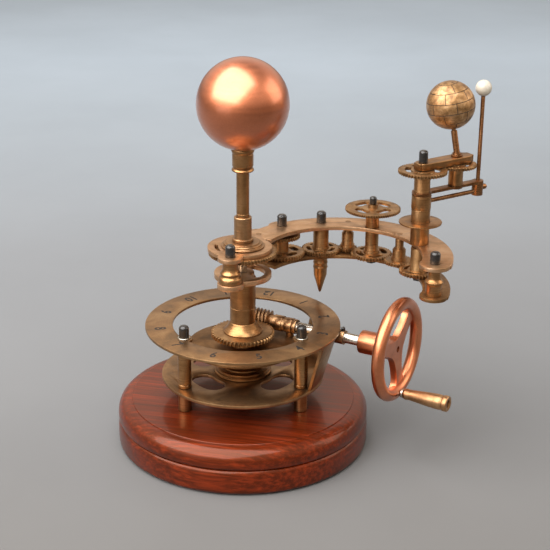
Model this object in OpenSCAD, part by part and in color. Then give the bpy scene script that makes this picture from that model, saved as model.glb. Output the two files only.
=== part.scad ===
// Geared orrery on a turned wooden base: a hand crank turns the planet arm about the
// central sun, and a gear train along the arm turns the Earth and Moon head.
// Origin: centre of the base's underside. +Z up, +X to the right, +Y to the back.

/* [Wooden base] */
// Outer radius of the turned base
base_r = 95; // [85:1:110]
// Height of the lower disc, felt included
base_lower_h = 20; // [15:1:26]
// Height of the upper disc
base_upper_h = 15.8; // [14:0.2:20]
// Radius of the upper disc's quarter-round shoulder
shoulder_r = 10; // [5:0.5:11]
// Thickness of the felt under the base
felt_t = 1; // [0.8:0.1:2]

/* [Stand] */
// Radius of the lower brass plate
lower_plate_r = 61.4; // [58:0.2:68]
// Thickness of the lower brass plate
lower_plate_t = 2.5; // [2:0.1:4]
// Height of the spacers between wood and lower plate
spacer_h = 16.2; // [10:0.2:22]
// Radius of the pillars and spacers
pillar_r = 5; // [4:0.1:5.6]
// Radius of the circle that the pillars stand on
pillar_pitch_r = 51.8; // [50:0.1:53]
// Height of the pillars between lower plate and calendar ring
pillar_h = 37.5; // [36:0.5:42]
// Inner radius of the calendar ring
ring_in_r = 52.6; // [50:0.2:58]
// Outer radius of the calendar ring
ring_out_r = 73.2; // [68:0.2:78]
// Thickness of the calendar ring
ring_t = 2; // [1.5:0.1:3]
// Radius of the bridge plate under the worm wheel
bridge_r = 42; // [40:0.5:45]

/* [Crank] */
// Direction of the crank shaft, measured from +X
crank_azimuth = -30; // [-36:1:-24]
// Teeth of the worm wheel
wheel_teeth = 48; // [36:4:60]
// Starts of the worm
worm_starts = 4; // [4:1:4]
// Pitch radius of the worm wheel
wheel_pitch_r = 23; // [22:0.5:23.5]
// Pitch radius of the worm
worm_pitch_r = 7.5; // [7:0.1:8]
// Radius of the crank shaft
shaft_r = 4; // [3.5:0.1:4.5]
// Outer radius of the handwheel
handwheel_r = 39; // [32:0.5:39]
// Radius of the handwheel's round rim section
rim_r = 4.7; // [4:0.1:5.5]
// Distance of the handwheel's plane from the shaft's nearest point to the column
handwheel_s = 113; // [108:1:120]
// Length of the handle grip
grip_l = 35; // [28:1:40]
// Radius of the grip at its thick end
grip_r = 6; // [5:0.1:6.3]

/* [Column and sun] */
// Radius of the fixed central spindle
spindle_r = 3; // [2.5:0.1:3.5]
// Radius of the turning column tube
column_r = 9.6; // [8.5:0.1:11]
// Height of the arm's hub plate above the floor, underside
hub_plate_z = 131; // [129:0.5:133]
// Radius of the sun ball
sun_r = 33.3; // [28:0.1:38]
// Height of the sun's centre above the floor
sun_z = 261.6; // [256:0.2:275]
// Radius of the rod that holds the sun
sun_rod_r = 4.7; // [4:0.1:5.5]

/* [Planet arm] */
// Top face of the upper arm plate above the floor
arm_top_z = 155; // [154:0.5:157]
// Thickness of the upper arm plate
arm_plate_t = 3; // [2.5:0.1:3.5]
// Thickness of the lower arm plate
arm_lower_t = 2.5; // [2:0.1:2.5]
// Clear height between the two arm plates
arm_gap = 21; // [20.5:0.5:21]
// Width of the curved arm plates
arm_band_w = 22; // [20:0.5:26]
// Module of all train gears
gear_module = 0.75; // [0.7:0.01:0.78]

/* [Earth and moon] */
// Direction of the Earth and Moon head, measured from +X
head_azimuth = 32; // [20:1:45]
// Distance of the moon from the head's axis
moon_reach = 53.5; // [50:0.5:56]
// Radius of the Earth globe
globe_r = 17.7; // [14:0.1:19]
// Length of the tilted spindle from the bar to the globe's centre
globe_reach = 37.5; // [34:0.5:44]
// Tilt of the Earth's spindle from the vertical
globe_tilt = 10; // [5:0.5:14]
// Radius of the moon ball
moon_r = 6; // [4:0.1:7]
// Height of the moon's centre above the floor
moon_z = 265; // [256:0.2:272]

/* [Hidden] */
$fn = 64;

// Clearances: running fits, screwed joints, and gaps between faces that pass each other
run_c = 0.05;
stud_c = 0.05;
face_gap = 0.3;

// Heights of the stand, from the floor up
wood_top_z = base_lower_h + base_upper_h;
lower_plate_z = wood_top_z + spacer_h;
deck_z = lower_plate_z + lower_plate_t;
ring_z = deck_z + pillar_h;
ring_top_z = ring_z + ring_t;
pillar_angles = [90, 214, 326];
stud_r = 2;
ear_r = 6.4;
washer_t = 0.8;
nut_r = 3.7;
nut_h = 9;
bolt_seat = 7;
bolt_r = 2.5;

// Crank line: the shaft runs level, and s is measured along it from its nearest point to the column
crank_z = ring_z - 6.5;
crank_offset = wheel_pitch_r + worm_pitch_r;
wheel_h = 4;
wheel_z = crank_z - wheel_h / 2;
bridge_t = 1.6;
axial_pitch = 2 * PI * wheel_pitch_r / wheel_teeth;
worm_lead = axial_pitch * worm_starts;
worm_lead_angle = atan(worm_lead / (2 * PI * worm_pitch_r));
worm_tooth = 0.8;
bridge_z = crank_z - worm_pitch_r - worm_tooth - 0.6 - bridge_t;
boss_r = 9;
worm_l = 15;
worm_s0 = -8.5;
bearing_s_in = -20;
bearing_s_out = 24;
bearing_w = 6;
bush_wall = 1.4;
bush_r = shaft_r + bush_wall;
bush_s0 = 57;
bush_l = 13.6;
screw_s = bush_s0 + bush_l - 1.8;
hub_r = 8.8;
hub_s0 = 84;
spoke_s = handwheel_s - 4;
spoke_t = 5;
crank_r = handwheel_r - rim_r;
grip_s0 = handwheel_s + 7;
pin_r = 2.2;
grip_play = 0.4;

// Heights of the arm
arm_plate_z = arm_top_z - arm_plate_t;
arm_deck_z = arm_plate_z - arm_gap;
arm_lower_z = arm_deck_z - arm_lower_t;
gear_h = 2.8;
low_gear_z = arm_deck_z + 0.6;
hub_wheel_h = 2.9;
high_gear_z = arm_plate_z - hub_wheel_h - 0.7 - gear_h;
arbor_h = arm_plate_z - face_gap - low_gear_z;
hub_plate_t = 4;
low_nut_h = 2.3;
arm_nut_reach = 7;
fourth_sleeve_r = 5.1;

// Fixed stack that carries the sun
sun_stack_z = arm_top_z + face_gap;
stack_h = 3.8;
sun_collar_h = 18.8;
spindle_top_z = sun_stack_z + 18;
sun_rod_z = sun_stack_z + stack_h + sun_collar_h;
socket_z = sun_z - sun_r - 16.6;
socket_h = 18;

// Tooth numbers of the arm train, from the fixed gear outwards
n_fixed = 44;
n_idler = 35;
n_first_high = 36;
n_first_low = 46;
n_second = 38;
n_third = 18;
n_fourth = 40;
n_fifth = 28;
n_head = 36;
n_post = 46;
n_carrier = 38;
n_hub_wheel = 66;
n_spoked = 72;

web_w = 3.2;

function pitch_r(n) = n * gear_module / 2;
function polar(r, a) = [r * cos(a), r * sin(a)];
function mid_dist(a, b) = norm(b - a);
function heading(a, b) = atan2(b[1] - a[1], b[0] - a[0]);

// Centre of a wheel that touches two others: ra from a and rb from b, to the left or right of a to b
function meet(a, ra, b, rb, side) =
    let (d = mid_dist(a, b), u = (b - a) / d, x = (d * d + ra * ra - rb * rb) / (2 * d),
         y = side * sqrt(max(0, ra * ra - x * x)))
    [a[0] + u[0] * x - u[1] * y, a[1] + u[1] * x + u[0] * y];

// Turn that puts a gap of gear b on a tooth of gear a, seen along the line from a to b
function mesh_turn(na, turn_a, nb, dir) = dir + 180 - (180 - (dir - turn_a) * na) / nb;

// Plan of the arm: arbors at their gears' centre distances
column_at = [0, 0];
first_at = polar(pitch_r(n_fixed + 2 * n_idler + n_first_high) - 0.7, 57.3);
idler_at = meet(column_at, pitch_r(n_fixed + n_idler), first_at, pitch_r(n_idler + n_first_high), 1);
second_at = first_at + polar(pitch_r(n_first_low + n_second), 14);
fourth_at = second_at + polar(39.9 * gear_module / 0.75, -15.7);
third_at = meet(second_at, pitch_r(n_second + n_third), fourth_at, pitch_r(n_third + n_fourth), 1);
head_at = fourth_at + polar(48.8 * gear_module / 0.75, -50);
fifth_at = meet(fourth_at, pitch_r(n_fourth + n_fifth), head_at, pitch_r(n_fifth + n_head), 1);
tip_at = [136.3, -37];
bracket_at = [-9, -22.7];

// Turns that leave every pair in mesh
turn_fixed = 0;
turn_idler = mesh_turn(n_fixed, turn_fixed, n_idler, heading(column_at, idler_at));
turn_first_high = mesh_turn(n_idler, turn_idler, n_first_high, heading(idler_at, first_at));
turn_first_low = turn_first_high;
turn_second = mesh_turn(n_first_low, turn_first_low, n_second, heading(first_at, second_at));
turn_third = mesh_turn(n_second, turn_second, n_third, heading(second_at, third_at));
turn_fourth = mesh_turn(n_third, turn_third, n_fourth, heading(third_at, fourth_at));
turn_fifth = mesh_turn(n_fourth, turn_fourth, n_fifth, heading(fourth_at, fifth_at));
turn_head = mesh_turn(n_fifth, turn_fifth, n_head, heading(fifth_at, head_at));

// Curved band of the arm plates: an arc about arc_at
arc_at = [72, -14];
arc_r = 69;
arc_start = 152;
arc_end = heading(arc_at, tip_at);

// Earth and Moon head
post_r = 5.9;
arbor_r = 2.5;
collar_z = arm_top_z + 27.3;
collar_h = 10.2;
collar_r = 7.2;
head_gear_z = arm_top_z + 54.2;
head_gear_h = 2.3;
bar_z = head_gear_z + head_gear_h + 0.5;
bar_h = 5;
bar_w = 11.5;
bar_end = 5.75;
bar_tail = 13;
flat_z = collar_z + collar_h + face_gap;
flat_t = 2.2;
hub_low_z = flat_z + flat_t + face_gap;
earth_d = pitch_r(n_post + n_carrier);
earth_at = head_at + polar(earth_d, head_azimuth);
moon_at = head_at + polar(moon_reach, head_azimuth);
turn_carrier = mesh_turn(n_post, 0, n_carrier, head_azimuth);
block_r = 4.2;
block_z = collar_z + 1.5;
moon_bar_z = collar_z + 4.4;
moon_rod_r = 1.5;
frame_rod_r = 1.6;
month_disc_z = arm_top_z + 16;
month_disc_r = 15.8;
spoked_z = arm_top_z + 13.4;
spindle_pin_r = 1.8;
globe_pin_r = 1.5;
globe_pin_l = 8;
bend_z = bar_z + bar_h + 1.3;

// ---- Shapes that repeat ----

// Round post with a through bore
module tube(r, h, bore) {
    difference() {
        cylinder(r = r, h = h);
        translate([0, 0, -1]) cylinder(r = bore, h = h + 2);
    }
}

// One bore through everything drawn, from z_low up to z_high
module bored(bore, z_low, z_high) {
    difference() {
        union() children();
        translate([0, 0, z_low - 1]) cylinder(r = bore, h = z_high - z_low + 2);
    }
}

// Cap nut with a rounded top and a blind bore
module dome_nut(r, h, bore) {
    edge = r * 0.6;
    difference() {
        rotate_extrude() {
            square([r, h - edge]);
            square([r - edge, h]);
            intersection() {
                translate([r - edge, h - edge]) circle(edge);
                translate([0, 0]) square([r, h]);
            }
        }
        translate([0, 0, -1]) cylinder(r = bore, h = h - 1);
    }
}

// Outline of one gear with straight-sided teeth
module gear_outline(n, m, backlash) {
    r = n * m / 2;
    half = 360 / n / 4 - backlash / r * 90 / PI;
    lean = m * tan(20) / r * 180 / PI;
    polygon([for (i = [0 : n - 1]) each [
        polar(r - m, i * 360 / n - half - lean),
        polar(r + 0.8 * m, i * 360 / n - half + 0.8 * lean),
        polar(r + 0.8 * m, i * 360 / n + half - 0.8 * lean),
        polar(r - m, i * 360 / n + half + lean)
    ]]);
}

// Angle between the centres of a window's round ends, which leaves a web between windows
function window_span(windows, r_in, r_out) =
    360 / windows - 2 * asin((r_out - r_in) / (r_out + r_in)) - web_w * 360 / (PI * (r_in + r_out));

// Solid flat gear, with arc windows between web radii when windows > 0
module gear(n, h, turn, windows = 0, web_in = 0, web_out = 0) {
    rotate([0, 0, turn]) linear_extrude(h) difference() {
        gear_outline(n, gear_module, 0.28);
        for (i = [1 : 1 : windows]) rotate([0, 0, i * 360 / windows])
            arc_window(web_in, web_out, window_span(windows, web_in, web_out));
    }
}

// Arc window with round ends, centred on +X
module arc_window(r_in, r_out, span) {
    r_mid = (r_in + r_out) / 2;
    end_r = (r_out - r_in) / 2;
    rotate([0, 0, -span / 2]) sector(r_in, r_out, span);
    for (side = [-1, 1]) rotate([0, 0, side * span / 2]) translate([r_mid, 0]) circle(end_r);
}

// Flat ring sector from +X round to the given angle
module sector(r_in, r_out, span) {
    reach = r_out * 3;
    steps = ceil(span / 60);
    intersection() {
        difference() {
            circle(r_out);
            circle(r_in);
        }
        polygon([[0, 0], for (i = [0 : steps]) polar(reach, i * span / steps)]);
    }
}

// Moves children to each place of a list
module at_each(places) {
    for (p = places) translate([p[0], p[1], 0]) children();
}

// Moves children onto the crank line: local +Z runs outwards along the shaft
module on_crank(s) {
    rotate([0, 0, crank_azimuth]) translate([s, crank_offset, crank_z]) rotate([0, 90, 0]) children();
}

// Moves children to the head's frame: origin on its axis, +X along the bar
module in_head() {
    translate([head_at[0], head_at[1], 0]) rotate([0, 0, head_azimuth]) children();
}

// ---- Wooden base ----

module base_lower_disc() {
    color("#6b2a14") difference() {
        rotate_extrude() union() {
            translate([0, felt_t]) square([base_r - 1.5, base_lower_h - felt_t]);
            translate([0, felt_t + 1.5]) square([base_r, base_lower_h - felt_t - 3]);
            for (z = [felt_t + 1.5, base_lower_h - 1.5]) intersection() {
                translate([base_r - 1.5, z]) circle(1.5);
                translate([0, felt_t]) square([base_r, base_lower_h - felt_t]);
            }
        }
        cylinder(r = stud_r + 1, h = base_lower_h + 1);
        cylinder(r = stud_r + 5, h = felt_t + bolt_seat);
    }
}

module base_upper_disc() {
    color("#7a3018") difference() {
        translate([0, 0, base_lower_h]) rotate_extrude() union() {
            square([base_r - shoulder_r, base_upper_h - 0.8]);
            square([base_r - shoulder_r - 0.6, base_upper_h]);
            square([base_r, base_upper_h - 0.8 - shoulder_r]);
            intersection() {
                translate([base_r - shoulder_r, base_upper_h - 0.8 - shoulder_r]) circle(shoulder_r);
                square([base_r, base_upper_h - 0.8]);
            }
        }
        translate([0, 0, base_lower_h - 1]) cylinder(r = stud_r + 1, h = base_upper_h + 2);
    }
}

module base_felt() {
    color("#1d3a24") cylinder(r = base_r - 4, h = felt_t);
}

// Bolt from below that draws the discs and the lower plate together
module base_bolt() {
    head_h = 4;
    seat_z = felt_t + bolt_seat;
    color("#2a2a2c") {
        translate([0, 0, seat_z - head_h]) cylinder(r = stud_r + 3.5, h = head_h);
        translate([0, 0, seat_z]) cylinder(r = bolt_r, h = deck_z - seat_z);
    }
}

module pillar_places(z) {
    for (a = pillar_angles) rotate([0, 0, a]) translate([pillar_pitch_r, 0, z]) children();
}

module plate_spacers() {
    color("#8a6232") pillar_places(wood_top_z) cylinder(r = pillar_r, h = spacer_h);
}

// ---- Stand ----

module lower_plate() {
    color("#6e5330") translate([0, 0, lower_plate_z]) linear_extrude(lower_plate_t) difference() {
        circle(lower_plate_r);
        circle(bolt_r);
        for (a = [39, 141, 219, 321]) rotate([0, 0, a]) arc_window(25, 42, 22);
        for (a = pillar_angles) rotate([0, 0, a]) translate([pillar_pitch_r, 0]) circle(stud_r + stud_c);
    }
}

module ring_pillars() {
    color("#8f6530") pillar_places(deck_z) {
        cylinder(r = pillar_r, h = pillar_h);
        translate([0, 0, -lower_plate_t])
            cylinder(r = stud_r, h = lower_plate_t + pillar_h + ring_t + 6);
    }
}

module calendar_ring() {
    color("#9c7238") translate([0, 0, ring_z]) linear_extrude(ring_t) difference() {
        union() {
            difference() {
                circle(ring_out_r);
                circle(ring_in_r);
            }
            for (a = pillar_angles) rotate([0, 0, a]) translate([pillar_pitch_r, 0]) circle(ear_r);
        }
        for (a = pillar_angles) rotate([0, 0, a]) translate([pillar_pitch_r, 0]) circle(stud_r + stud_c);
    }
}

module ring_washers() {
    color("#b58a4a") pillar_places(ring_top_z) tube(nut_r + 1, washer_t, stud_r + stud_c);
}

module ring_nuts() {
    color("#1b1b1d") pillar_places(ring_top_z + washer_t) dome_nut(nut_r, nut_h, stud_r + stud_c);
}

// Stepped foot of the column, from the lower plate to the bridge plate
module hub_flange() {
    rise = bridge_z - deck_z;
    color("#9a6f36") translate([0, 0, deck_z]) difference() {
        union() {
            cylinder(r = 21.5, h = 2.4);
            cylinder(r = 19, h = 4.2);
            cylinder(r = 15.5, h = 6);
            cylinder(r = 12, h = rise);
        }
        translate([0, 0, -1]) cylinder(r = spindle_r + stud_c, h = rise + 2);
    }
}

// Plate with a boss that the worm wheel turns on
module bridge_plate() {
    color("#5d4a2c") translate([0, 0, bridge_z]) {
        tube(bridge_r, bridge_t, spindle_r + stud_c);
        tube(boss_r, wheel_z - face_gap - bridge_z, spindle_r + stud_c);
    }
}

// Two posts on the bridge plate that carry the worm shaft
module worm_bearings() {
    post_h = crank_z - bridge_z - bridge_t;
    color("#4a3a22") for (s = [bearing_s_in, bearing_s_out]) difference() {
        union() {
            on_crank(s - bearing_w / 2) cylinder(r = shaft_r + 1.9, h = bearing_w);
            rotate([0, 0, crank_azimuth]) translate([s, crank_offset, bridge_z + bridge_t])
                cylinder(r = bearing_w / 2, h = post_h - shaft_r);
        }
        on_crank(s - bearing_w) cylinder(r = shaft_r + run_c, h = bearing_w * 2);
    }
}

// Curved wall between lower plate and ring that carries the outer crank bush
module crank_bracket() {
    wall_t = 2.2;
    foot_r = lower_plate_r - wall_t;
    head_r = ring_out_r - wall_t - 1.5;
    color("#8a6430") difference() {
        rotate([0, 0, -36]) rotate_extrude(angle = 74, start = 0) polygon([
            [foot_r, deck_z], [foot_r + wall_t, deck_z],
            [head_r + wall_t, ring_z], [head_r, ring_z]
        ]);
        on_crank(bush_s0 - 15) cylinder(r = bush_r, h = bush_l + 30);
        rotate([0, 0, 11]) translate([0, 0, deck_z + 11]) linear_extrude(pillar_h - 16)
            sector(foot_r - 5, ring_out_r + 5, 20);
    }
}

module crank_bush() {
    color("#7d5a2c") difference() {
        on_crank(bush_s0) tube(bush_r, bush_l, shaft_r + run_c);
        on_crank(screw_s) rotate([0, -90, 0]) cylinder(r = 1.3, h = bush_r + 1);
    }
}

// Oil screw on top of the bush, just outside the ring
module bush_screw() {
    color("#1b1b1d") on_crank(screw_s) rotate([0, -90, 0]) {
        translate([0, 0, shaft_r + 0.2]) cylinder(r = 1.3, h = bush_wall + 0.6);
        translate([0, 0, bush_r]) dome_nut(1.7, 2.6, 0.4);
    }
}

// ---- Fixed centre ----

module centre_spindle() {
    color("#55442c") translate([0, 0, deck_z]) cylinder(r = spindle_r, h = spindle_top_z - deck_z);
}

module fixed_gear() {
    hub_h = 3;
    color("#8a6430") translate([0, 0, high_gear_z]) bored(spindle_r, -hub_h, gear_h) {
        gear(n_fixed, gear_h, turn_fixed, 5, 7.5, 12.5);
        translate([0, 0, -hub_h]) cylinder(r = 5.5, h = hub_h + 1);
    }
}

module sun_washers() {
    color("#b07a44") translate([0, 0, sun_stack_z]) difference() {
        union() {
            cylinder(r = 16, h = 1.2);
            cylinder(r = 14.2, h = 2.8);
            cylinder(r = 12.6, h = stack_h);
        }
        translate([0, 0, -1]) cylinder(r = spindle_r, h = stack_h + 2);
    }
}

module sun_collar() {
    foot_z = sun_stack_z + stack_h;
    color("#a9713a") translate([0, 0, foot_z]) difference() {
        union() {
            cylinder(r = 7.7, h = 2.4);
            cylinder(r = 6.5, h = sun_collar_h);
        }
        translate([0, 0, -1]) cylinder(r = spindle_r, h = spindle_top_z - foot_z + 1);
    }
}

module sun_rod() {
    color("#a06a36") translate([0, 0, sun_rod_z]) cylinder(r = sun_rod_r, h = socket_z - sun_rod_z);
}

module sun_socket() {
    cup_z = sun_z - socket_z;
    color("#b07a44") translate([0, 0, socket_z]) difference() {
        rotate_extrude() union() {
            square([6.4, socket_h]);
            translate([0, 3.4]) square([7.7, socket_h - 3.4]);
            translate([6.4, 1.7]) circle(1.6);
            translate([7.7, socket_h - 1.4]) circle(0.7);
        }
        translate([0, 0, cup_z]) sphere(r = sun_r);
    }
}

module sun_ball() {
    color("#c98058") translate([0, 0, sun_z]) sphere(r = sun_r);
}

// ---- Crank ----

module crank_shaft() {
    s0 = bearing_s_in - bearing_w;
    color("#c9c9c6") on_crank(s0) cylinder(r = shaft_r, h = spoke_s - s0);
}

// Right-handed worm: a lobed section carried round in a helix
module worm() {
    lobe = 360 / worm_starts;
    twist_end = worm_l / worm_lead * 360;
    low = worm_pitch_r - worm_tooth - 0.25;
    high = worm_pitch_r + worm_tooth;
    color("#a9763c") on_crank(worm_s0) difference() {
        linear_extrude(worm_l, twist = -twist_end, slices = 30)
            rotate([0, 0, 180 - worm_s0 / worm_lead * -360 + lobe / 2])
            polygon([for (i = [0 : worm_starts - 1]) each [
                polar(low, i * lobe - 26), polar(high, i * lobe - 11),
                polar(high, i * lobe + 11), polar(low, i * lobe + 26), polar(low, (i + 0.5) * lobe)
            ]]);
        translate([0, 0, -1]) cylinder(r = shaft_r, h = worm_l + 2);
    }
}

// Plain collars that fill the shaft between worm and outer bearing
module shaft_collars() {
    s1 = worm_s0 + worm_l;
    gap = bearing_s_out - bearing_w / 2 - face_gap - s1;
    color("#a9713a") {
        on_crank(s1) tube(5.4, gap * 0.3, shaft_r);
        on_crank(s1 + gap * 0.3) tube(6.1, gap * 0.55, shaft_r);
        on_crank(s1 + gap * 0.85) tube(5.2, gap * 0.15, shaft_r);
        on_crank(bearing_s_out + bearing_w / 2 + face_gap) tube(5.6, 3, shaft_r);
    }
}

module handwheel() {
    spoke_in = 11;
    spoke_out = 7.5;
    reach = crank_r;
    color("#b8683f") difference() {
        union() {
            on_crank(handwheel_s) rotate_extrude() translate([crank_r, 0]) circle(rim_r);
            on_crank(hub_s0) cylinder(r = hub_r, h = spoke_s + spoke_t / 2 - hub_s0);
            on_crank(spoke_s + 1 - spoke_t / 2) linear_extrude(spoke_t)
                for (a = [12, 132, 252]) rotate([0, 0, a])
                    polygon([[0, -spoke_in / 2], [reach, -spoke_out / 2], [reach, spoke_out / 2],
                             [0, spoke_in / 2]]);
        }
        on_crank(hub_s0 - 1) cylinder(r = shaft_r, h = spoke_s - hub_s0 + 1);
        on_crank(spoke_s - 1) cylinder(r = 2.2, h = spoke_t + 2);
        on_crank(handwheel_s) translate([crank_r, 0, -2]) cylinder(r = pin_r, h = rim_r + 6);
    }
}

// Pin in the rim that the grip turns on, with a shoulder at the rim
module handle_pin() {
    color("#c9c9c6") on_crank(handwheel_s) translate([crank_r, 0, -2]) {
        cylinder(r = pin_r, h = grip_s0 - handwheel_s + 2 + grip_l - 5);
        translate([0, 0, rim_r + 2.2])
            cylinder(r = 3.4, h = grip_s0 - handwheel_s - rim_r - 0.2 - grip_play);
    }
}

module handle_grip() {
    neck = 3.6;
    color("#c08a45") on_crank(grip_s0) translate([crank_r, 0, 0]) difference() {
        rotate_extrude() polygon([
            [0, 0], [neck, 0], [neck + 0.6, 2], [neck + 0.4, 5], [neck + 0.9, 12],
            [grip_r - 0.6, grip_l * 0.62], [grip_r - 0.1, grip_l - 6], [grip_r - 0.8, grip_l - 4.6],
            [grip_r, grip_l - 3.6], [grip_r - 0.2, grip_l], [0, grip_l]
        ]);
        translate([0, 0, -1]) cylinder(r = pin_r + run_c, h = grip_l - 2);
        translate([0, 0, grip_l - 3]) cylinder(r = 3, h = 4);
    }
}

// ---- Column of the arm ----

// Wheel whose teeth lean by the worm's lead angle
module worm_wheel() {
    tooth_w = axial_pitch / 2 - 0.3;
    root = wheel_pitch_r - worm_tooth - 0.3;
    depth = 2 * worm_tooth + 0.2;
    worm_side = 90 + crank_azimuth;
    color("#8c6632") translate([0, 0, wheel_z]) difference() {
        union() {
            cylinder(r = root, h = wheel_h);
            for (i = [0 : wheel_teeth - 1]) rotate([0, 0, worm_side + i * 360 / wheel_teeth])
                translate([root - 0.4, 0, wheel_h / 2]) rotate([-worm_lead_angle, 0, 0])
                linear_extrude(wheel_h - 0.6, center = true)
                polygon([[0, -tooth_w * 0.72], [depth + 0.4, -tooth_w * 0.32],
                         [depth + 0.4, tooth_w * 0.32], [0, tooth_w * 0.72]]);
        }
        translate([0, 0, -1]) cylinder(r = spindle_r + run_c, h = wheel_h + 2);
    }
}

module bell_collar() {
    bell_z = wheel_z + wheel_h;
    color("#b98650") translate([0, 0, bell_z]) difference() {
        rotate_extrude() polygon([[0, 0], [14.2, 0], [14.2, 1], [12.6, 2.2], [11.2, 4.4],
                                  [column_r + 0.7, 7], [column_r, 8], [0, 8]]);
        translate([0, 0, -1]) cylinder(r = spindle_r + run_c, h = 10);
    }
}

module column_tube() {
    tube_z = wheel_z + wheel_h + 8;
    joint_z = 107.6;
    color("#a56c38") difference() {
        translate([0, 0, tube_z]) cylinder(r = column_r, h = hub_plate_z - tube_z);
        translate([0, 0, tube_z - 1]) cylinder(r = spindle_r + run_c, h = hub_plate_z - tube_z + 2);
        translate([0, 0, joint_z]) rotate_extrude() translate([column_r, 0]) circle(0.4);
    }
}

module hub_plate() {
    color("#8f6a3c") translate([0, 0, hub_plate_z]) linear_extrude(hub_plate_t) difference() {
        union() {
            circle(21.3);
            translate(bracket_at) circle(9.6);
            rotate([0, 0, heading(column_at, bracket_at)]) translate([12, 0])
                square([20, 17], center = true);
        }
        circle(spindle_r + run_c);
        rotate([0, 0, 10]) arc_window(8.5, 16.5, 95);
        translate(bracket_at) circle(stud_r + stud_c);
    }
}

// Turned post between hub plate and upper arm plate
module bracket_post() {
    foot_z = hub_plate_z + hub_plate_t;
    rise = arm_plate_z - foot_z;
    color("#a9713a") translate([bracket_at[0], bracket_at[1], foot_z]) difference() {
        rotate_extrude() polygon([[0, 0], [8.4, 0], [8.4, 4.6], [6.8, 5.4], [6.8, 6.6], [7.4, 7], [7.4, 8],
                                  [6.3, 9], [5.6, 11], [5.6, rise - 1.2], [6.3, rise], [0, rise]]);
        translate([0, 0, -1]) cylinder(r = stud_r + stud_c, h = rise + 2);
    }
}

// Toothed wheel riveted under the arm's hub
module hub_wheel() {
    color("#96703c") translate([0, 0, arm_plate_z - hub_wheel_h]) linear_extrude(hub_wheel_h) difference() {
        gear_outline(n_hub_wheel, gear_module, 0.28);
        circle(spindle_r + run_c);
        translate(bracket_at) circle(8);
    }
}

// ---- Arm plates and what holds them ----

module arm_band(extra = 0) {
    translate(arc_at) rotate([0, 0, arc_end])
        sector(arc_r - arm_band_w / 2 - extra, arc_r + arm_band_w / 2 + extra, arc_start - arc_end);
}

module upper_arm_plate() {
    color("#a07a44") translate([0, 0, arm_plate_z]) linear_extrude(arm_plate_t) difference() {
        union() {
            arm_band();
            circle(21.6);
            rotate([0, 0, 100]) sector(0, 26, 150);
            translate(bracket_at) circle(9.2);
            rotate([0, 0, heading(column_at, bracket_at)]) translate([10, 0])
                square([20, 15], center = true);
            translate(tip_at) circle(arm_band_w / 2);
            translate(first_at) circle(10.5);
            translate(idler_at) circle(12);
        }
        circle(spindle_r + run_c);
        rotate([0, 0, 190]) arc_window(18.2, 20.8, 34);
        for (p = [bracket_at, idler_at, first_at, second_at, third_at, fifth_at, tip_at])
            translate(p) circle(stud_r + stud_c);
        translate(fourth_at) circle(fourth_sleeve_r + 0.3);
        translate(head_at) circle(arbor_r + run_c);
    }
}

module lower_arm_plate() {
    color("#5f4a2e") translate([0, 0, arm_lower_z]) linear_extrude(arm_lower_t) difference() {
        union() {
            arm_band(-1);
            translate(first_at) circle(12);
            translate(tip_at) circle(arm_band_w / 2 - 1);
        }
        translate(column_at) circle(32);
        for (p = [first_at, second_at, third_at, fourth_at, fifth_at, tip_at])
            translate(p) circle(stud_r + stud_c);
        translate(head_at) circle(arbor_r + run_c);
    }
}

// Studs that the arbors turn on and that tie the plates together
module arm_studs() {
    floor_z = arm_lower_z - low_nut_h;
    nut_reach = arm_top_z + arm_nut_reach;
    color("#3a3126") {
        translate([bracket_at[0], bracket_at[1], hub_plate_z - low_nut_h])
            cylinder(r = stud_r, h = nut_reach - hub_plate_z + low_nut_h);
        translate([idler_at[0], idler_at[1], high_gear_z - 1.6])
            cylinder(r = stud_r, h = arm_top_z - high_gear_z + 1.6);
        translate([idler_at[0], idler_at[1], high_gear_z - 1.6]) cylinder(r = stud_r + 1.4, h = 1);
        at_each([first_at, tip_at]) translate([0, 0, floor_z]) cylinder(r = stud_r, h = nut_reach - floor_z);
        at_each([second_at]) translate([0, 0, arm_lower_z - 8])
            cylinder(r = stud_r, h = nut_reach - arm_lower_z + 8);
        at_each([third_at, fifth_at]) translate([0, 0, arm_lower_z])
            cylinder(r = stud_r, h = arm_top_z - arm_lower_z);
        at_each([fourth_at]) translate([0, 0, floor_z])
            cylinder(r = stud_r, h = spoked_z + 8.8 - floor_z);
    }
}

module tip_pillar() {
    color("#a06a36") translate([tip_at[0], tip_at[1], arm_deck_z]) difference() {
        rotate_extrude() polygon([[0, 0], [5.8, 0], [5.8, 8.6], [6.6, 9.4], [6.6, 10.8], [5.4, 11.6],
                                  [4.7, 13.4], [4.7, arm_gap - 1.5], [5.6, arm_gap], [0, arm_gap]]);
        translate([0, 0, -1]) cylinder(r = stud_r + stud_c, h = arm_gap + 2);
    }
}

module arm_top_nuts() {
    color("#1b1b1d") {
        at_each([bracket_at, first_at, second_at, tip_at]) translate([0, 0, arm_top_z])
            dome_nut(nut_r, nut_h, stud_r + stud_c);
        at_each([fourth_at]) translate([0, 0, spoked_z + 5.2]) dome_nut(2.7, 5.6, stud_r + stud_c);
    }
}

module arm_bottom_nuts() {
    color("#1b1b1d") {
        translate([bracket_at[0], bracket_at[1], hub_plate_z - low_nut_h])
            tube(nut_r, low_nut_h, stud_r + stud_c);
        at_each([first_at, fourth_at, tip_at]) translate([0, 0, arm_lower_z - low_nut_h])
            tube(nut_r, low_nut_h, stud_r + stud_c);
    }
}

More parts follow.
